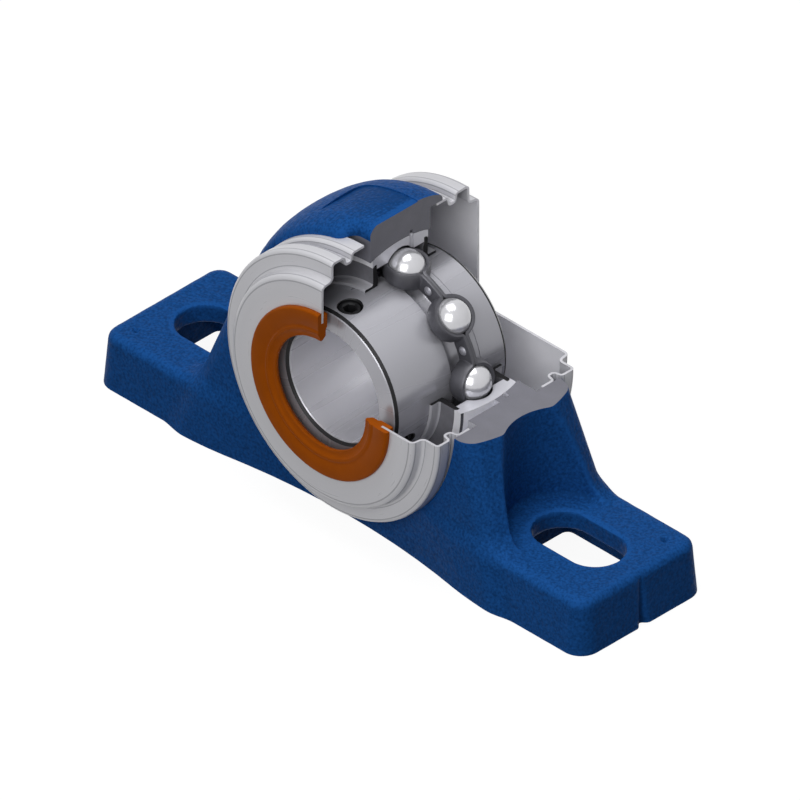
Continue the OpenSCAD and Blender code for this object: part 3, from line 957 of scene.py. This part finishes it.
    def dowel_cutter(self, side: int) -> Object:
        """A cone that leaves a dowel spot on one foot."""
        x0 = side * (SIZES.base_l / 2 - self.dowel_in)
        y0 = side * self.dowel_y
        rings = []
        for r, z in ((self.dowel_tip, self.foot_h - self.dowel_r),
                     (2 * self.dowel_r, self.foot_h + self.dowel_r)):
            rings.append([(x0 + x, y0 + y, z) for x, y in circle(r, columns=24)])
        return loft("dowel_cutter", rings)

    def build(self, looks: Finishes) -> Object:
        """Builds, machines and sections the housing.

        Args:
            looks: The unit's materials.

        Returns:
            The finished housing.
        """
        obj = self.mesh(looks.paint)
        base = SIZES.shaft_h
        cutters = [
            (prism("base_cutter", [(-self.far, -self.far), (self.far, -self.far),
                                   (self.far, self.far), (-self.far, self.far)],
                   -self.far, 0.0, "z"), looks.machined),
            (turned("seat_cutter", self.lathe_outline(), Extent.WHOLE, looks.machined), None),
            (prism("loading_cutter", self.loading_outline(), -self.step_y - 1,
                   self.load_end, "y"), looks.machined),
            (prism("section_cutter", [(0, base), (self.far, base), (self.far, self.far),
                                      (0, self.far)], -self.far, self.far, "y"), looks.cut_iron),
            (self.pad_cutter(), looks.paint),
            (self.dowel_cutter(-1), looks.paint),
            (self.dowel_cutter(1), looks.paint),
        ]
        for cutter, finish in cutters:
            if finish is not None:
                cutter.data.materials.append(finish)
            carve(obj, cutter)
        self.dress_recess(obj, looks)
        shade(obj, sharp=35.0)
        settle(obj, "base", "housing_paint", "housing")
        return obj

    def dress_recess(self, obj: Object, looks: Finishes) -> None:
        """Darkens the machined faces above the shaft that the lamps don't reach."""
        lit, shaded = (
            obj.data.materials.find(look.name) for look in (looks.machined, looks.cut_iron))
        recess = self.bore_r - self.seat_gap
        for face in obj.data.polygons:
            radius, _, rise = spot(face)
            if rise < 0:
                continue
            bared = radius < recess and face.material_index == 0
            turned_down = face.normal.z < self.upturn
            if bared or (face.material_index == lit and turned_down):
                face.material_index = shaded


@dataclass
class BallBearing:
    """The insert bearing: rings, balls, cage, its two seals and the set screws."""

    chamfer: float = 0.9
    chamfer_bands: int = 4
    end_shade_line: float = 0.4
    conformity: float = 0.52
    race_gap: float = 0.03
    shoulder_relief: float = 0.12
    shoulder_past: float = 1.0
    outer_shoulder: float = 2.4
    seal_in: float = 0.1
    seal_t: float = 1.3
    seal_seat: float = 1.3
    sleeve_t: float = 0.75
    sleeve_end: float = 12.0
    web_out: float = 0.26
    sleeve_bends: tuple[float, float] = (0.6, 0.3)
    seat_share: float = 0.6
    wipe_gap: float = 0.08
    press_gap: float = 0.04
    ball_count: int = 9
    ball_start: float = 5.0
    pocket_gap: float = 0.2
    cage_t: float = 0.9
    cage_gap: float = 0.35
    web_bend: float = 0.9
    rivet_r: float = 1.2
    rivet_h: float = 0.5
    rivet_form: Steps = ((0.5, 0.94), (0.85, 0.55), (1.0, 0.16), (1.0, 0.0), (0.58, 0.0))
    screw_d: float = 6.0
    screw_in: float = 4.9
    screw_angles: tuple[float, float] = (3.0, 115.0)
    socket_w: float = 3.0
    socket_d: float = 3.2
    tip_gap: float = 0.35
    head_gap: float = 0.45
    thread_pitch: float = 1.0
    thread_d: float = 0.32
    thread_rows: int = 8
    tip_lead: float = 1.0
    head_lead: float = 0.5
    cup_w: float = 1.2
    point_r: float = 0.02
    socket_lead: float = 0.3
    drill_d: float = 0.4
    countersink: float = 0.35
    ribbon_edge: float = 0.12
    lube_y: float = 3.8
    lube_r: float = 0.75
    edge_shade_line: float = 0.7

    land_r: float = field(init=False)
    race_r: float = field(init=False)
    seat_r: float = field(init=False)
    seal_y: float = field(init=False)

    def __post_init__(self) -> None:
        """Works out the sizes that follow from the others."""
        self.land_r = SIZES.pitch_r + SIZES.ball_r + self.race_gap - self.outer_shoulder
        self.race_r = self.conformity * 2 * SIZES.ball_r
        self.seat_r = self.land_r + self.seal_seat
        self.seal_y = SIZES.ring_w / 2 - self.seal_in - self.seal_t

    def race(self, centre: float, edge_r: float, outward: bool) -> Outline:
        """Arc of a raceway between its shoulders at a radius, from -Y to +Y."""
        half = math.degrees(math.asin(abs(edge_r - centre) / self.race_r))
        span = 90 - half
        if outward:
            return arc(centre, 0, self.race_r, -span, span, steps=20)
        return arc(centre, 0, self.race_r, 180 + span, 180 - span, steps=20)

    def outer_outline(self) -> Outline:
        """Closed outline of the outer ring."""
        half = SIZES.ring_w / 2
        edge = math.degrees(math.asin(half / SIZES.ring_r))
        outside = arc(0, 0, SIZES.ring_r, -edge, edge, steps=24)
        centre = SIZES.pitch_r + SIZES.ball_r + self.race_gap - self.race_r
        mouth = self.land_r + self.seat_share * self.seal_seat
        depth = self.seat_share * self.seal_t
        seats = {}
        for s in (-1, 1):
            seats[s] = [
                (mouth, s * half), (mouth, s * (self.seal_y + self.seal_t)),
                (self.seat_r, s * (self.seal_y + depth)), (self.seat_r, s * self.seal_y),
                (self.land_r, s * self.seal_y),
            ]
        inside = seats[1] + self.race(centre, self.land_r, True)[::-1] + seats[-1][::-1]
        return outside + inside

    def dress_outer(self, obj: Object, looks: Finishes) -> None:
        """Paints light onto the outer ring's ground outside and ends with a pale finish, and painted
        shade as a thin line in the cage's colour at the outside's edge.
        """
        painted_light = add_look(obj, looks.inside)
        painted_shade = add_look(obj, looks.cage)
        half = SIZES.ring_w / 2
        for face in obj.data.polygons:
            radius, y, rise = spot(face)
            outward = face.normal.x * face.center.x / MM + face.normal.z * rise > 0
            outside = outward and radius > SIZES.pitch_r + SIZES.ball_r
            if face.material_index == 0 and (outside or abs(y) > half - self.press_gap):
                line = outside and abs(y) > half - self.edge_shade_line
                face.material_index = painted_shade if line else painted_light

    def inner_outline(self) -> Outline:
        """Closed outline of the inner ring, with its shallow relief beside the raceway."""
        r0 = SIZES.bore_r
        r1 = SIZES.inner_r
        c = self.chamfer
        relief = self.shoulder_relief
        shoulder = self.race_r + self.shoulder_past
        front = SIZES.ring_front
        rear = SIZES.ring_rear
        centre = SIZES.pitch_r - SIZES.ball_r - self.race_gap + self.race_r
        shares = [i / self.chamfer_bands for i in range(self.chamfer_bands + 1)]
        return [
            *((r0 + c * t, -front + c * (1 - t)) for t in shares),
            *((r1 - c * (1 - t), -front + c * t) for t in shares),
            (r1, -shoulder), (r1 - relief, -shoulder),
            *self.race(centre, r1 - relief, False),
            (r1 - relief, shoulder), (r1, shoulder), (r1, rear - c - self.end_shade_line),
            *((r1 - c * t, rear - c * (1 - t)) for t in shares),
            *((r0 + c * (1 - t), rear - c * t) for t in shares),
        ]

    def seal_outline(self, side: Side) -> Outline:
        """Closed outline of a bearing seal: rim, web and the sleeve on the inner ring."""
        inner = SIZES.inner_r + self.wipe_gap
        outer = self.seat_r - self.press_gap
        mouth = self.land_r + self.seat_share * self.seal_seat - self.press_gap
        back = self.seal_y + self.press_gap
        front = self.seal_y + self.seal_t - self.press_gap
        web = self.seal_y - self.web_out
        thick = inner + self.sleeve_t
        end = self.sleeve_end
        points = [
            (inner, web), (self.land_r - self.seal_seat, web),
            (self.land_r - self.seal_seat / 2, back), (outer, back),
            (outer, self.seal_y + self.seat_share * self.seal_t - self.press_gap), (mouth, front),
            *bent([(mouth, front), (thick, front), (thick, end), (inner, end)],
                  self.sleeve_bends)[1:],
        ]
        return [(r, side.value * y) for r, y in points]

    def dress_sleeve(self, seal: Object, looks: Finishes) -> None:
        """Gives the outside of a seal's sleeve its steel finish, made lighter as painted light for
        the shaded hollow that it sits in.
        """
        light = add_look(seal, looks.sleeve)
        start = self.seal_y + self.seal_t
        for face in seal.data.polygons:
            _, y, _ = spot(face)
            if abs(y) > start and face.material_index == 0:
                face.material_index = light

    def screw_rings(self) -> list[Ring]:
        """Rings of a threaded cup point set screw, tip first, its axis along +Z."""
        r = self.screw_d / 2 - self.press_gap
        length = SIZES.inner_r - self.head_gap - SIZES.bore_r - self.tip_gap
        columns = 60
        unit = circle(1.0, columns)
        floor = length - self.socket_d

        def ring(radii: list[float], z: float) -> Ring:
            """A ring with its own radius at each point."""
            return [(q * x, q * y, z) for (x, y), q in zip(unit, radii)]

        def flat(radius: float, z: float) -> Ring:
            """A plain ring."""
            return ring([radius] * columns, z)

        def hexagon(z: float) -> Ring:
            """A ring on the socket's hexagon."""
            turns = [(360 * i / columns + 30) % 60 - 30 for i in range(columns)]
            return ring([self.socket_w / 2 / math.cos(math.radians(t)) for t in turns], z)

        def thread(z: float) -> Ring:
            """A ring on the thread's helix, which runs out at both ends."""
            room = min(z + r - self.tip_lead, r - max(z - length + self.head_lead, 0))
            phases = [(z / self.thread_pitch - i / columns) % 1 for i in range(columns)]
            return ring([min(r - self.thread_d * (1 - abs(2 * p - 1)), room) for p in phases], z)

        rows = int(length / self.thread_pitch * self.thread_rows)
        skin = [thread(length * i / rows) for i in range(rows + 1)]
        cup = [flat(self.point_r, r / 2), flat(r - self.cup_w, 0.0)]
        mouth = [flat(self.socket_w / 2 + self.head_lead, length), hexagon(length - self.socket_lead)]
        return cup + skin + mouth + [hexagon(floor), flat(self.point_r, floor - self.drill_d)]

    def beside_screw(self, angle: float, x: float, y: float, out: float) -> Point:
        """A point beside a set screw's axis, at a distance out from the shaft's axis."""
        a = math.radians(angle)
        return (x * math.cos(a) + out * math.sin(a), y + self.screw_in - SIZES.ring_front,
                SIZES.shaft_h - x * math.sin(a) + out * math.cos(a))

    def set_screw(self, number: int, angle: float, looks: Finishes) -> None:
        """Builds one set screw at its angle and settles it."""
        tip = SIZES.bore_r + self.tip_gap
        rings = [[self.beside_screw(angle, x, y, tip + z) for x, y, z in ring]
                 for ring in self.screw_rings()]
        obj = loft(f"socket_set_screw_{number}", rings)
        obj.data.materials.append(looks.black_oxide_and_shade)
        shade(obj)
        settle(obj, "inner_race", "black_steel", f"set_screw_{number}")

    def inner_ring(self, looks: Finishes) -> None:
        """Builds the inner ring with its two screw holes."""
        obj = turned("inner_race_ring", self.inner_outline(), Extent.WHOLE, looks.honed,
                     segments=FINE_TURN)
        self.dress_ring(obj, looks)
        for angle in self.screw_angles:
            carve(obj, self.hole_cutter(angle, looks))
        shade(obj)
        settle(obj, "inner_race", "ring_steel", "inner_ring")

    def dress_ring(self, obj: Object, looks: Finishes) -> None:
        """Paints shade as thin blackened lines on the chamfers and just before the rear end of the
        outside, and paints light onto the shaft hole with a lighter copy of the honed steel.
        """
        black_oxide_and_shade = add_look(obj, looks.black_oxide_and_shade)
        bore_painted_light = add_look(obj, looks.bore_painted_light)
        band = self.chamfer / self.chamfer_bands
        middle = (SIZES.bore_r + SIZES.inner_r) / 2
        for face in obj.data.polygons:
            radius, y, _ = spot(face)
            tilt = abs(face.normal.y)
            depth = min(SIZES.ring_front + y, SIZES.ring_rear - y)
            at_end = depth < self.chamfer
            outside = radius > middle
            last_band = self.chamfer_bands - 1
            # Which chamfer bands carry the painted shade differs between the front and the rear end.
            painted_shade = depth < band or (outside and depth > last_band * band)
            if y < 0:
                painted_shade = depth > band if outside else depth < last_band * band
            line = outside and SIZES.ring_rear - y < self.chamfer + self.end_shade_line
            if (STEEP < tilt < FLAT and at_end and painted_shade) or (line and not at_end):
                face.material_index = black_oxide_and_shade
            elif tilt < STEEP and not outside:
                face.material_index = bore_painted_light

    def hole_cutter(self, angle: float, looks: Finishes) -> Object:
        """A countersunk cutter for one screw hole."""
        r = self.screw_d / 2
        sink = self.countersink
        rows = [(r, SIZES.bore_r - 2), (r, SIZES.inner_r - sink), (r + sink, SIZES.inner_r),
                (r + sink + 1, SIZES.inner_r + 1)]
        rings = [[self.beside_screw(angle, x, y, out) for x, y in circle(radius, columns=48)]
                 for radius, out in rows]
        cutter = loft("hole_cutter", rings)
        cutter.data.materials.append(looks.black_oxide_and_shade)
        return cutter

    def lube_cutter(self, looks: Finishes) -> Object:
        """A cutter for the hole that lets grease through the top of the outer ring."""
        columns = 24
        first = 180 / columns
        outline = arc(0.0, self.lube_y, self.lube_r, first, 360 - first, columns - 1)
        cutter = prism("lube_cutter", outline, SIZES.shaft_h + SIZES.pitch_r,
                       SIZES.shaft_h + 2 * SIZES.ring_r, "z")
        cutter.data.materials.append(looks.ring)
        return cutter

    def ribbon_row(self, rho: float) -> Outline:
        """Half a pitch of the cage's middle line at a radius, from a ball to a rivet.

        Args:
            rho: Radius of the row about the shaft.

        Returns:
            Points of distance along the circle and distance from the cage's middle plane.
        """
        middle = SIZES.ball_r + self.pocket_gap + self.cage_t / 2
        pocket = math.sqrt(middle ** 2 - (rho - SIZES.pitch_r) ** 2)
        web = self.cage_t / 2
        bend_r = self.web_bend
        centre = math.sqrt((pocket + bend_r) ** 2 - (web + bend_r) ** 2)
        meet = math.degrees(math.atan2(web + bend_r, centre))
        dome = arc(0, 0, pocket, 90, meet, steps=14)
        fillet = arc(centre, web + bend_r, bend_r, 180 + meet, 270, steps=5)
        end = rho * math.pi / self.ball_count
        flat = [(centre + (end - centre) * t / 3, web) for t in (1, 2, 3)]
        return dome + fillet[1:] + flat

    def cage_half(self, side: Side, looks: Finishes) -> None:
        """Builds one pressed half of the ribbon cage."""
        inner = SIZES.inner_r + self.cage_gap
        outer = self.land_r - self.cage_gap
        rows = 7
        points = []
        for k in range(rows):
            rho = inner + (outer - inner) * k / (rows - 1)
            half = self.ribbon_row(rho)
            wave = [(-x, y) for x, y in half[::-1]][:-1] + half[:-1]
            for i in range(self.ball_count):
                ball = self.ball_start + i * 360 / self.ball_count
                points += [around(ball + math.degrees(x / rho), rho, side.value * y)
                           for x, y in wave]
        faces = grid_faces(rows, len(points) // rows)
        obj = make_object(f"cage_ribbon_{side.name.lower()}", points, faces)
        wall = obj.modifiers.new("wall", "SOLIDIFY")
        wall.thickness = self.cage_t * MM
        wall.offset = 0
        edge = obj.modifiers.new("edge", "BEVEL")
        edge.width = self.ribbon_edge * MM
        edge.segments = 2
        edge.limit_method = "ANGLE"
        edge.angle_limit = math.radians(50)
        finished(obj)
        obj.data.materials.append(looks.cage)
        shade(obj, sharp=40.0)
        settle(obj, "cage", "cage_steel", f"cage_{side.name.lower()}")

    def sphere(self) -> Object:
        """A fine ball about the origin, to be copied into place."""
        mesh = bpy.data.meshes.new("ball_form")
        made = bmesh.new()
        bmesh.ops.create_uvsphere(
            made, u_segments=64, v_segments=40, radius=SIZES.ball_r * MM)
        made.to_mesh(mesh)
        made.free()
        mesh.shade_smooth()
        obj = bpy.data.objects.new("ball_form", mesh)
        bpy.context.scene.collection.objects.link(obj)
        return obj

    def rivet(self) -> Object:
        """A round-headed rivet about the origin, along Y, to be copied into place."""
        half = self.cage_t
        head = half + self.rivet_h
        r = self.rivet_r
        profile = [(share * r, -half - rise * self.rivet_h) for share, rise in self.rivet_form]
        side_outline = [(0.0, -head), *profile]
        outline = side_outline + [(q, -y) for q, y in side_outline[::-1]]
        rings = [[(x, y, z) for x, z in circle(q, columns=32)] for q, y in outline]
        obj = loft("rivet_form", rings)
        shade(obj, sharp=35.0)
        return obj


class CopyRing:
    """Geometry nodes that set copies of a piece on a circle about the shaft."""

    def __init__(self) -> None:
        """Builds the node group with its named inputs."""
        tree = bpy.data.node_groups.new("copies_about_the_shaft", "GeometryNodeTree")
        self.tree = tree
        face = tree.interface
        face.new_socket("Geometry", in_out="OUTPUT", socket_type="NodeSocketGeometry")
        self.names = {
            "Piece": "NodeSocketObject", "Count": "NodeSocketInt", "Radius": "NodeSocketFloat",
            "Start": "NodeSocketFloat", "Shaft height": "NodeSocketFloat",
            "Finish": "NodeSocketMaterial",
        }
        for name, kind in self.names.items():
            face.new_socket(name, in_out="INPUT", socket_type=kind)
        self.wire()

    def wire(self) -> None:
        """Adds and joins the nodes."""
        nodes = Nodes(self.tree)
        given = nodes.add("NodeGroupInput").outputs
        points = nodes.add("GeometryNodePoints", {"Count": given["Count"]})
        index = nodes.add("GeometryNodeInputIndex").outputs[0]
        step = nodes.math("DIVIDE", math.tau, given["Count"])
        angle = nodes.math("ADD", nodes.math("MULTIPLY", index, step), given["Start"])
        across = nodes.math("MULTIPLY", nodes.math("SINE", angle), given["Radius"])
        upward = nodes.math("MULTIPLY", nodes.math("COSINE", angle), given["Radius"])
        height = nodes.math("ADD", upward, given["Shaft height"])
        place = nodes.add("ShaderNodeCombineXYZ", {"X": across, "Z": height})
        turn = nodes.add("ShaderNodeCombineXYZ", {"Y": angle})
        placed = nodes.add("GeometryNodeSetPosition", {
            "Geometry": points.outputs[0], "Position": place.outputs[0]})
        piece = nodes.add("GeometryNodeObjectInfo", {"Object": given["Piece"]})
        copies = nodes.add("GeometryNodeInstanceOnPoints", {
            "Points": placed.outputs[0], "Instance": piece.outputs["Geometry"]})
        turned_copies = nodes.add("GeometryNodeRotateInstances", {
            "Instances": copies.outputs[0], "Rotation": turn.outputs[0], "Local Space": True})
        real = nodes.add("GeometryNodeRealizeInstances", {"Geometry": turned_copies.outputs[0]})
        dressed = nodes.add("GeometryNodeSetMaterial", {
            "Geometry": real.outputs[0], "Material": given["Finish"]})
        nodes.add("NodeGroupOutput", {"Geometry": dressed.outputs[0]})

    def make(
        self, name: str, piece: Object, count: int, start: float,
        radius: float, finish: Material,
    ) -> Object:
        """Makes one mesh of copies.

        Args:
            name: Name of the new object.
            piece: The form that is copied.
            count: Number of copies.
            start: Angle of the first from the top, in degrees.
            radius: Radius of the circle in millimetres.
            finish: Material of the copies.

        Returns:
            A plain mesh object.
        """
        obj = bpy.data.objects.new(name, bpy.data.meshes.new(name))
        bpy.context.scene.collection.objects.link(obj)
        step = obj.modifiers.new("copies", "NODES")
        step.node_group = self.tree
        values = {
            "Piece": piece, "Count": count, "Radius": radius * MM, "Start": math.radians(start),
            "Shaft height": SIZES.shaft_h * MM, "Finish": finish,
        }
        for item in self.tree.interface.items_tree:
            if item.in_out == "INPUT":
                step[item.identifier] = values[item.name]
        obj.update_tag()
        bpy.context.view_layer.update()
        return finished(obj)


def build_bearing(looks: Finishes) -> None:
    """Builds every piece of the ball bearing.

    Args:
        looks: The unit's materials.
    """
    unit = BallBearing()
    ring = turned("outer_race_ring", unit.outer_outline(), Extent.SECTIONED, looks.ring,
                  looks.cut_ring, FINE_TURN)
    unit.dress_outer(ring, looks)
    carve(ring, unit.lube_cutter(looks))
    settle(ring, "outer_race", "ring_steel", "outer_ring")
    unit.inner_ring(looks)
    for number, angle in enumerate(unit.screw_angles, start=1):
        unit.set_screw(number, angle, looks)
    for side in Side:
        unit.cage_half(side, looks)
        seal = turned(f"race_seal_{side.name.lower()}", unit.seal_outline(side),
                      Extent.SECTIONED, looks.rubber, looks.cut_rubber)
        unit.dress_sleeve(seal, looks)
        settle(seal, "outer_race", "seal_rubber", f"bearing_seal_{side.name.lower()}")
    copies = CopyRing()
    pitch = 360 / unit.ball_count
    rivet = unit.rivet()
    middle = (SIZES.inner_r + unit.land_r) / 2
    rivets = copies.make("cage_rivet_row", rivet, unit.ball_count,
                         unit.ball_start + pitch / 2, middle, looks.rivet)
    settle(rivets, "cage", "rivet_steel", "cage_rivets")
    sphere = unit.sphere()
    for number in range(1, unit.ball_count + 1):
        ball = copies.make(f"polished_ball_{number}", sphere, 1,
                           unit.ball_start + (number - 1) * pitch, SIZES.pitch_r, looks.ball)
        settle(ball, f"rolling_ball_{number}", "ball_steel", f"ball_{number}")
    bpy.data.objects.remove(rivet)
    bpy.data.objects.remove(sphere)


@dataclass
class EndCovers:
    """The two pressed covers and the rubber seal in the front one."""

    sheet_t: float = 0.65
    wall_in: float = 5.3
    neck_in: float = 4.8
    neck_y: float = 3.35
    bead_w: float = 4.0
    waist_in: float = 2.3
    waist_w: float = 2.9
    slant: float = 0.45
    bend_r: float = 0.9
    neck_r: float = 1.25
    shade_line_reach: float = 0.06
    step_y: float = 10.2
    front_short: float = 2.1
    rear_short: float = 2.1
    opening_gap: float = 5.1
    seal_over: float = 3.0
    seal_w: float = 3.2
    lip_gap: float = 0.12
    grip_d: float = 2.2
    fit_gap: float = 0.04
    rim_round: float = 0.7
    face_steps: Steps = (
        (1.2, 0.1), (1.6, 0.3), (2.0, 0.3), (2.3, 0.15), (2.9, 0.2), (3.3, 0.5))
    lip_steps: Steps = ((0.9, 0.8), (0.2, 0.8), (0.0, 1.1), (0.0, 1.6))
    back_steps: Steps = ((4.08, 0.5), (2.3, 0.5), (1.7, 0.0))

    def path(self, start_r: float, end_y: float) -> Outline:
        """Middle line of a cover's sheet from its wall to its flange.

        Args:
            start_r: Radius where the wall begins.
            end_y: Where the flange ends along the shaft.

        Returns:
            Points of radius and distance along the shaft.
        """
        r = SIZES.cover_r - self.sheet_t / 2
        y = self.wall_y()
        bead = y - self.neck_y
        waist = bead - self.bead_w
        corners = [
            (start_r, y), (r - self.wall_in, y), (r - self.neck_in, bead), (r, bead),
            (r, waist), (r - self.waist_in, waist - self.slant),
            (r - self.waist_in, waist - self.waist_w + self.slant), (r, waist - self.waist_w),
            (r, end_y),
        ]
        radii = [self.neck_r] * 2 + [self.bend_r] * (len(corners) - 4)
        return bent(corners, radii)

    def wall_y(self) -> float:
        """Where the middle of the flat wall's sheet lies along the shaft."""
        return SIZES.cover_y - self.sheet_t / 2

    def shell(self, side: Side, looks: Finishes) -> None:
        """Builds one cover."""
        front = side is Side.FRONT
        start = SIZES.bore_r + self.opening_gap if front else 0.0
        short = self.front_short if front else self.rear_short
        outline = sheet(self.path(start, self.step_y + short), self.sheet_t)
        placed = [(r, side.value * y) for r, y in outline]
        name = side.name.lower()
        obj = turned(f"pressed_cover_{name}", placed, Extent.SECTIONED, looks.cover,
                     looks.cut_cover, FINE_TURN)
        self.dress(obj, placed, looks)
        settle(obj, "base", "cover_steel", f"end_cover_{name}")

    def dress(self, obj: Object, outline: Outline, looks: Finishes) -> None:
        """Paints shade as thin lines where the outside's bends begin, and paints light onto the rear
        cover's inside wall.

        Args:
            obj: The turned cover.
            outline: Its closed outline, first along one side of the sheet and then back.
            looks: The unit's materials.
        """
        bend_shade = add_look(obj, looks.bend_shade)
        painted_light = add_look(obj, looks.inside)
        side = len(outline) // 2
        bends = (side - 2) // (BEND_STEPS + 1)
        lines = []
        for i in range(bends):
            start = 1 + i * (BEND_STEPS + 1)
            begins = () if i == NECK_BEND else (start,)
            for a in (*begins, start + BEND_STEPS - 1):
                r = (outline[a][0] + outline[a + 1][0]) / 2
                y = (outline[a][1] + outline[a + 1][1]) / 2
                lines.append((r, y))
        marks = np.array(lines)
        inner_face = self.wall_y() - self.sheet_t
        for face in obj.data.polygons:
            radius, y, _ = spot(face)
            near = np.abs(marks - (radius, y)).max(1).min()
            if face.material_index == 0 and near < self.shade_line_reach:
                face.material_index = bend_shade
            elif face.normal.y < -FLAT and y > inner_face:
                face.material_index = painted_light

    def seal_outline(self) -> Outline:
        """Closed outline of the rubber seal, its face toward -Y."""
        wall = self.wall_y()
        out = -wall - self.seal_w / 2
        back = -wall + self.seal_w / 2
        gap = self.sheet_t / 2 + self.fit_gap
        opening = SIZES.bore_r + self.opening_gap
        root = opening - self.fit_gap
        lip = SIZES.bore_r + self.lip_gap
        rim = opening + self.seal_over
        face = [
            *arc(rim - self.rim_round, out + self.rim_round, self.rim_round, 0, -90, steps=6),
            *((opening - inward, out + back) for inward, back in self.face_steps),
            *((lip + outward, out + back) for outward, back in self.lip_steps),
        ]
        return face + [
            *((opening - inward, back - front) for inward, front in self.back_steps),
            (root + self.grip_d, back), (root + self.grip_d, -wall + gap),
            (root, -wall + gap), (root, -wall - gap), (rim, -wall - gap),
        ]

    def build(self, looks: Finishes) -> None:
        """Builds both covers and the seal."""
        for side in Side:
            self.shell(side, looks)
        obj = turned("cover_lip_seal", self.seal_outline(), Extent.SECTIONED, looks.orange,
                     looks.orange, FINE_TURN)
        settle(obj, "base", "orange_rubber", "cover_seal")


@dataclass
class Studio:
    """Floor, lamps, background and camera."""

    aim: Point = (-0.07, -0.07, 24.95)
    view_width: float = 191.7
    distance: float = 600.0
    azimuth: float = 45.0
    elevation: float = 35.264
    ambient: float = 0.08
    lamp_size: float = 600.0
    lamp_distance: float = 900.0
    key_power: float = 5.2
    key_way: Point = (-0.1, 0.05, 1.0)
    fill_power: float = 4.0
    floor_reach: float = 4000.0
    floor_tone: float = 0.12
    floor_glow: float = 0.93
    fill_way: Point = (0.36, -0.74, 0.55)

    def camera(self) -> None:
        """Places the camera at the photograph's view."""
        data = bpy.data.cameras.new("camera")
        data.type = "ORTHO"
        data.ortho_scale = self.view_width * MM
        data.clip_start = 0.01
        data.clip_end = 10.0
        camera = bpy.data.objects.new("camera", data)
        bpy.context.scene.collection.objects.link(camera)
        a = math.radians(self.azimuth)
        e = math.radians(self.elevation)
        back = Vector((math.sin(a) * math.cos(e), -math.cos(a) * math.cos(e), math.sin(e)))
        camera.location = (Vector(self.aim) + back * self.distance) * MM
        camera.rotation_mode = "QUATERNION"
        camera.rotation_quaternion = (-back).to_track_quat("-Z", "Y")
        bpy.context.scene.camera = camera

    def lamp(self, name: str, way: Point, power: float) -> None:
        """Adds a soft square lamp that points at the object from one way."""
        data = bpy.data.lights.new(name, "AREA")
        data.shape = "SQUARE"
        data.size = self.lamp_size * MM
        data.energy = power
        lamp = bpy.data.objects.new(name, data)
        bpy.context.scene.collection.objects.link(lamp)
        back = Vector(way).normalized()
        lamp.location = (Vector(self.aim) + back * self.lamp_distance) * MM
        lamp.rotation_euler = (-back).to_track_quat("-Z", "Y").to_euler()
        lamp.visible_camera = False

    @staticmethod
    def seen_directly(nodes: Nodes) -> Socket:
        """1 on camera, glossy and transmission rays, and 0 on others."""
        path = nodes.add("ShaderNodeLightPath").outputs
        some = nodes.math("MAXIMUM", path["Is Camera Ray"], path["Is Glossy Ray"])
        return nodes.math("MAXIMUM", some, path["Is Transmission Ray"])

    def world(self) -> None:
        """A white background that lights the object only softly."""
        world = bpy.data.worlds.new("studio")
        world.use_nodes = True
        bpy.context.scene.world = world
        nodes = Nodes(world.node_tree)
        seen = self.seen_directly(nodes)
        strength = nodes.add("ShaderNodeMapRange", {
            "Value": seen, "To Min": self.ambient, "To Max": 1.0})
        back = world.node_tree.nodes["Background"]
        back.inputs["Color"].default_value = WHITE
        world.node_tree.links.new(strength.outputs["Result"], back.inputs["Strength"])

    def floor(self) -> None:
        """A pale floor that keeps the object's shadow."""
        half = self.floor_reach
        corners = [(-half, -half, 0), (half, -half, 0), (half, half, 0), (-half, half, 0)]
        obj = make_object("studio_floor", corners, [[0, 1, 2, 3]])
        made = bpy.data.materials.new("pale_floor")
        made.use_nodes = True
        nodes = Nodes(made.node_tree)
        made.node_tree.nodes.clear()
        pale = nodes.add("ShaderNodeBsdfDiffuse", {"Color": (*[self.floor_tone] * 3, 1.0)})
        strength = nodes.math("MULTIPLY", self.seen_directly(nodes), self.floor_glow)
        glow = nodes.add("ShaderNodeEmission", {"Color": WHITE, "Strength": strength})
        both = nodes.add("ShaderNodeAddShader", {0: pale.outputs[0], 1: glow.outputs[0]})
        nodes.add("ShaderNodeOutputMaterial", {"Surface": both.outputs[0]})
        obj.data.materials.append(made)

    def build(self) -> None:
        """Sets up the whole studio."""
        bpy.context.scene.view_settings.view_transform = "Standard"
        self.world()
        self.floor()
        self.lamp("key", self.key_way, self.key_power)
        self.lamp("fill", self.fill_way, self.fill_power)
        self.camera()


def main() -> None:
    """Builds the unit and its studio."""
    logging.basicConfig(level=logging.INFO, format="%(message)s")
    looks = Finishes()
    Casting().build(looks)
    build_bearing(looks)
    EndCovers().build(looks)
    Studio().build()


if __name__ == "__main__":
    main()
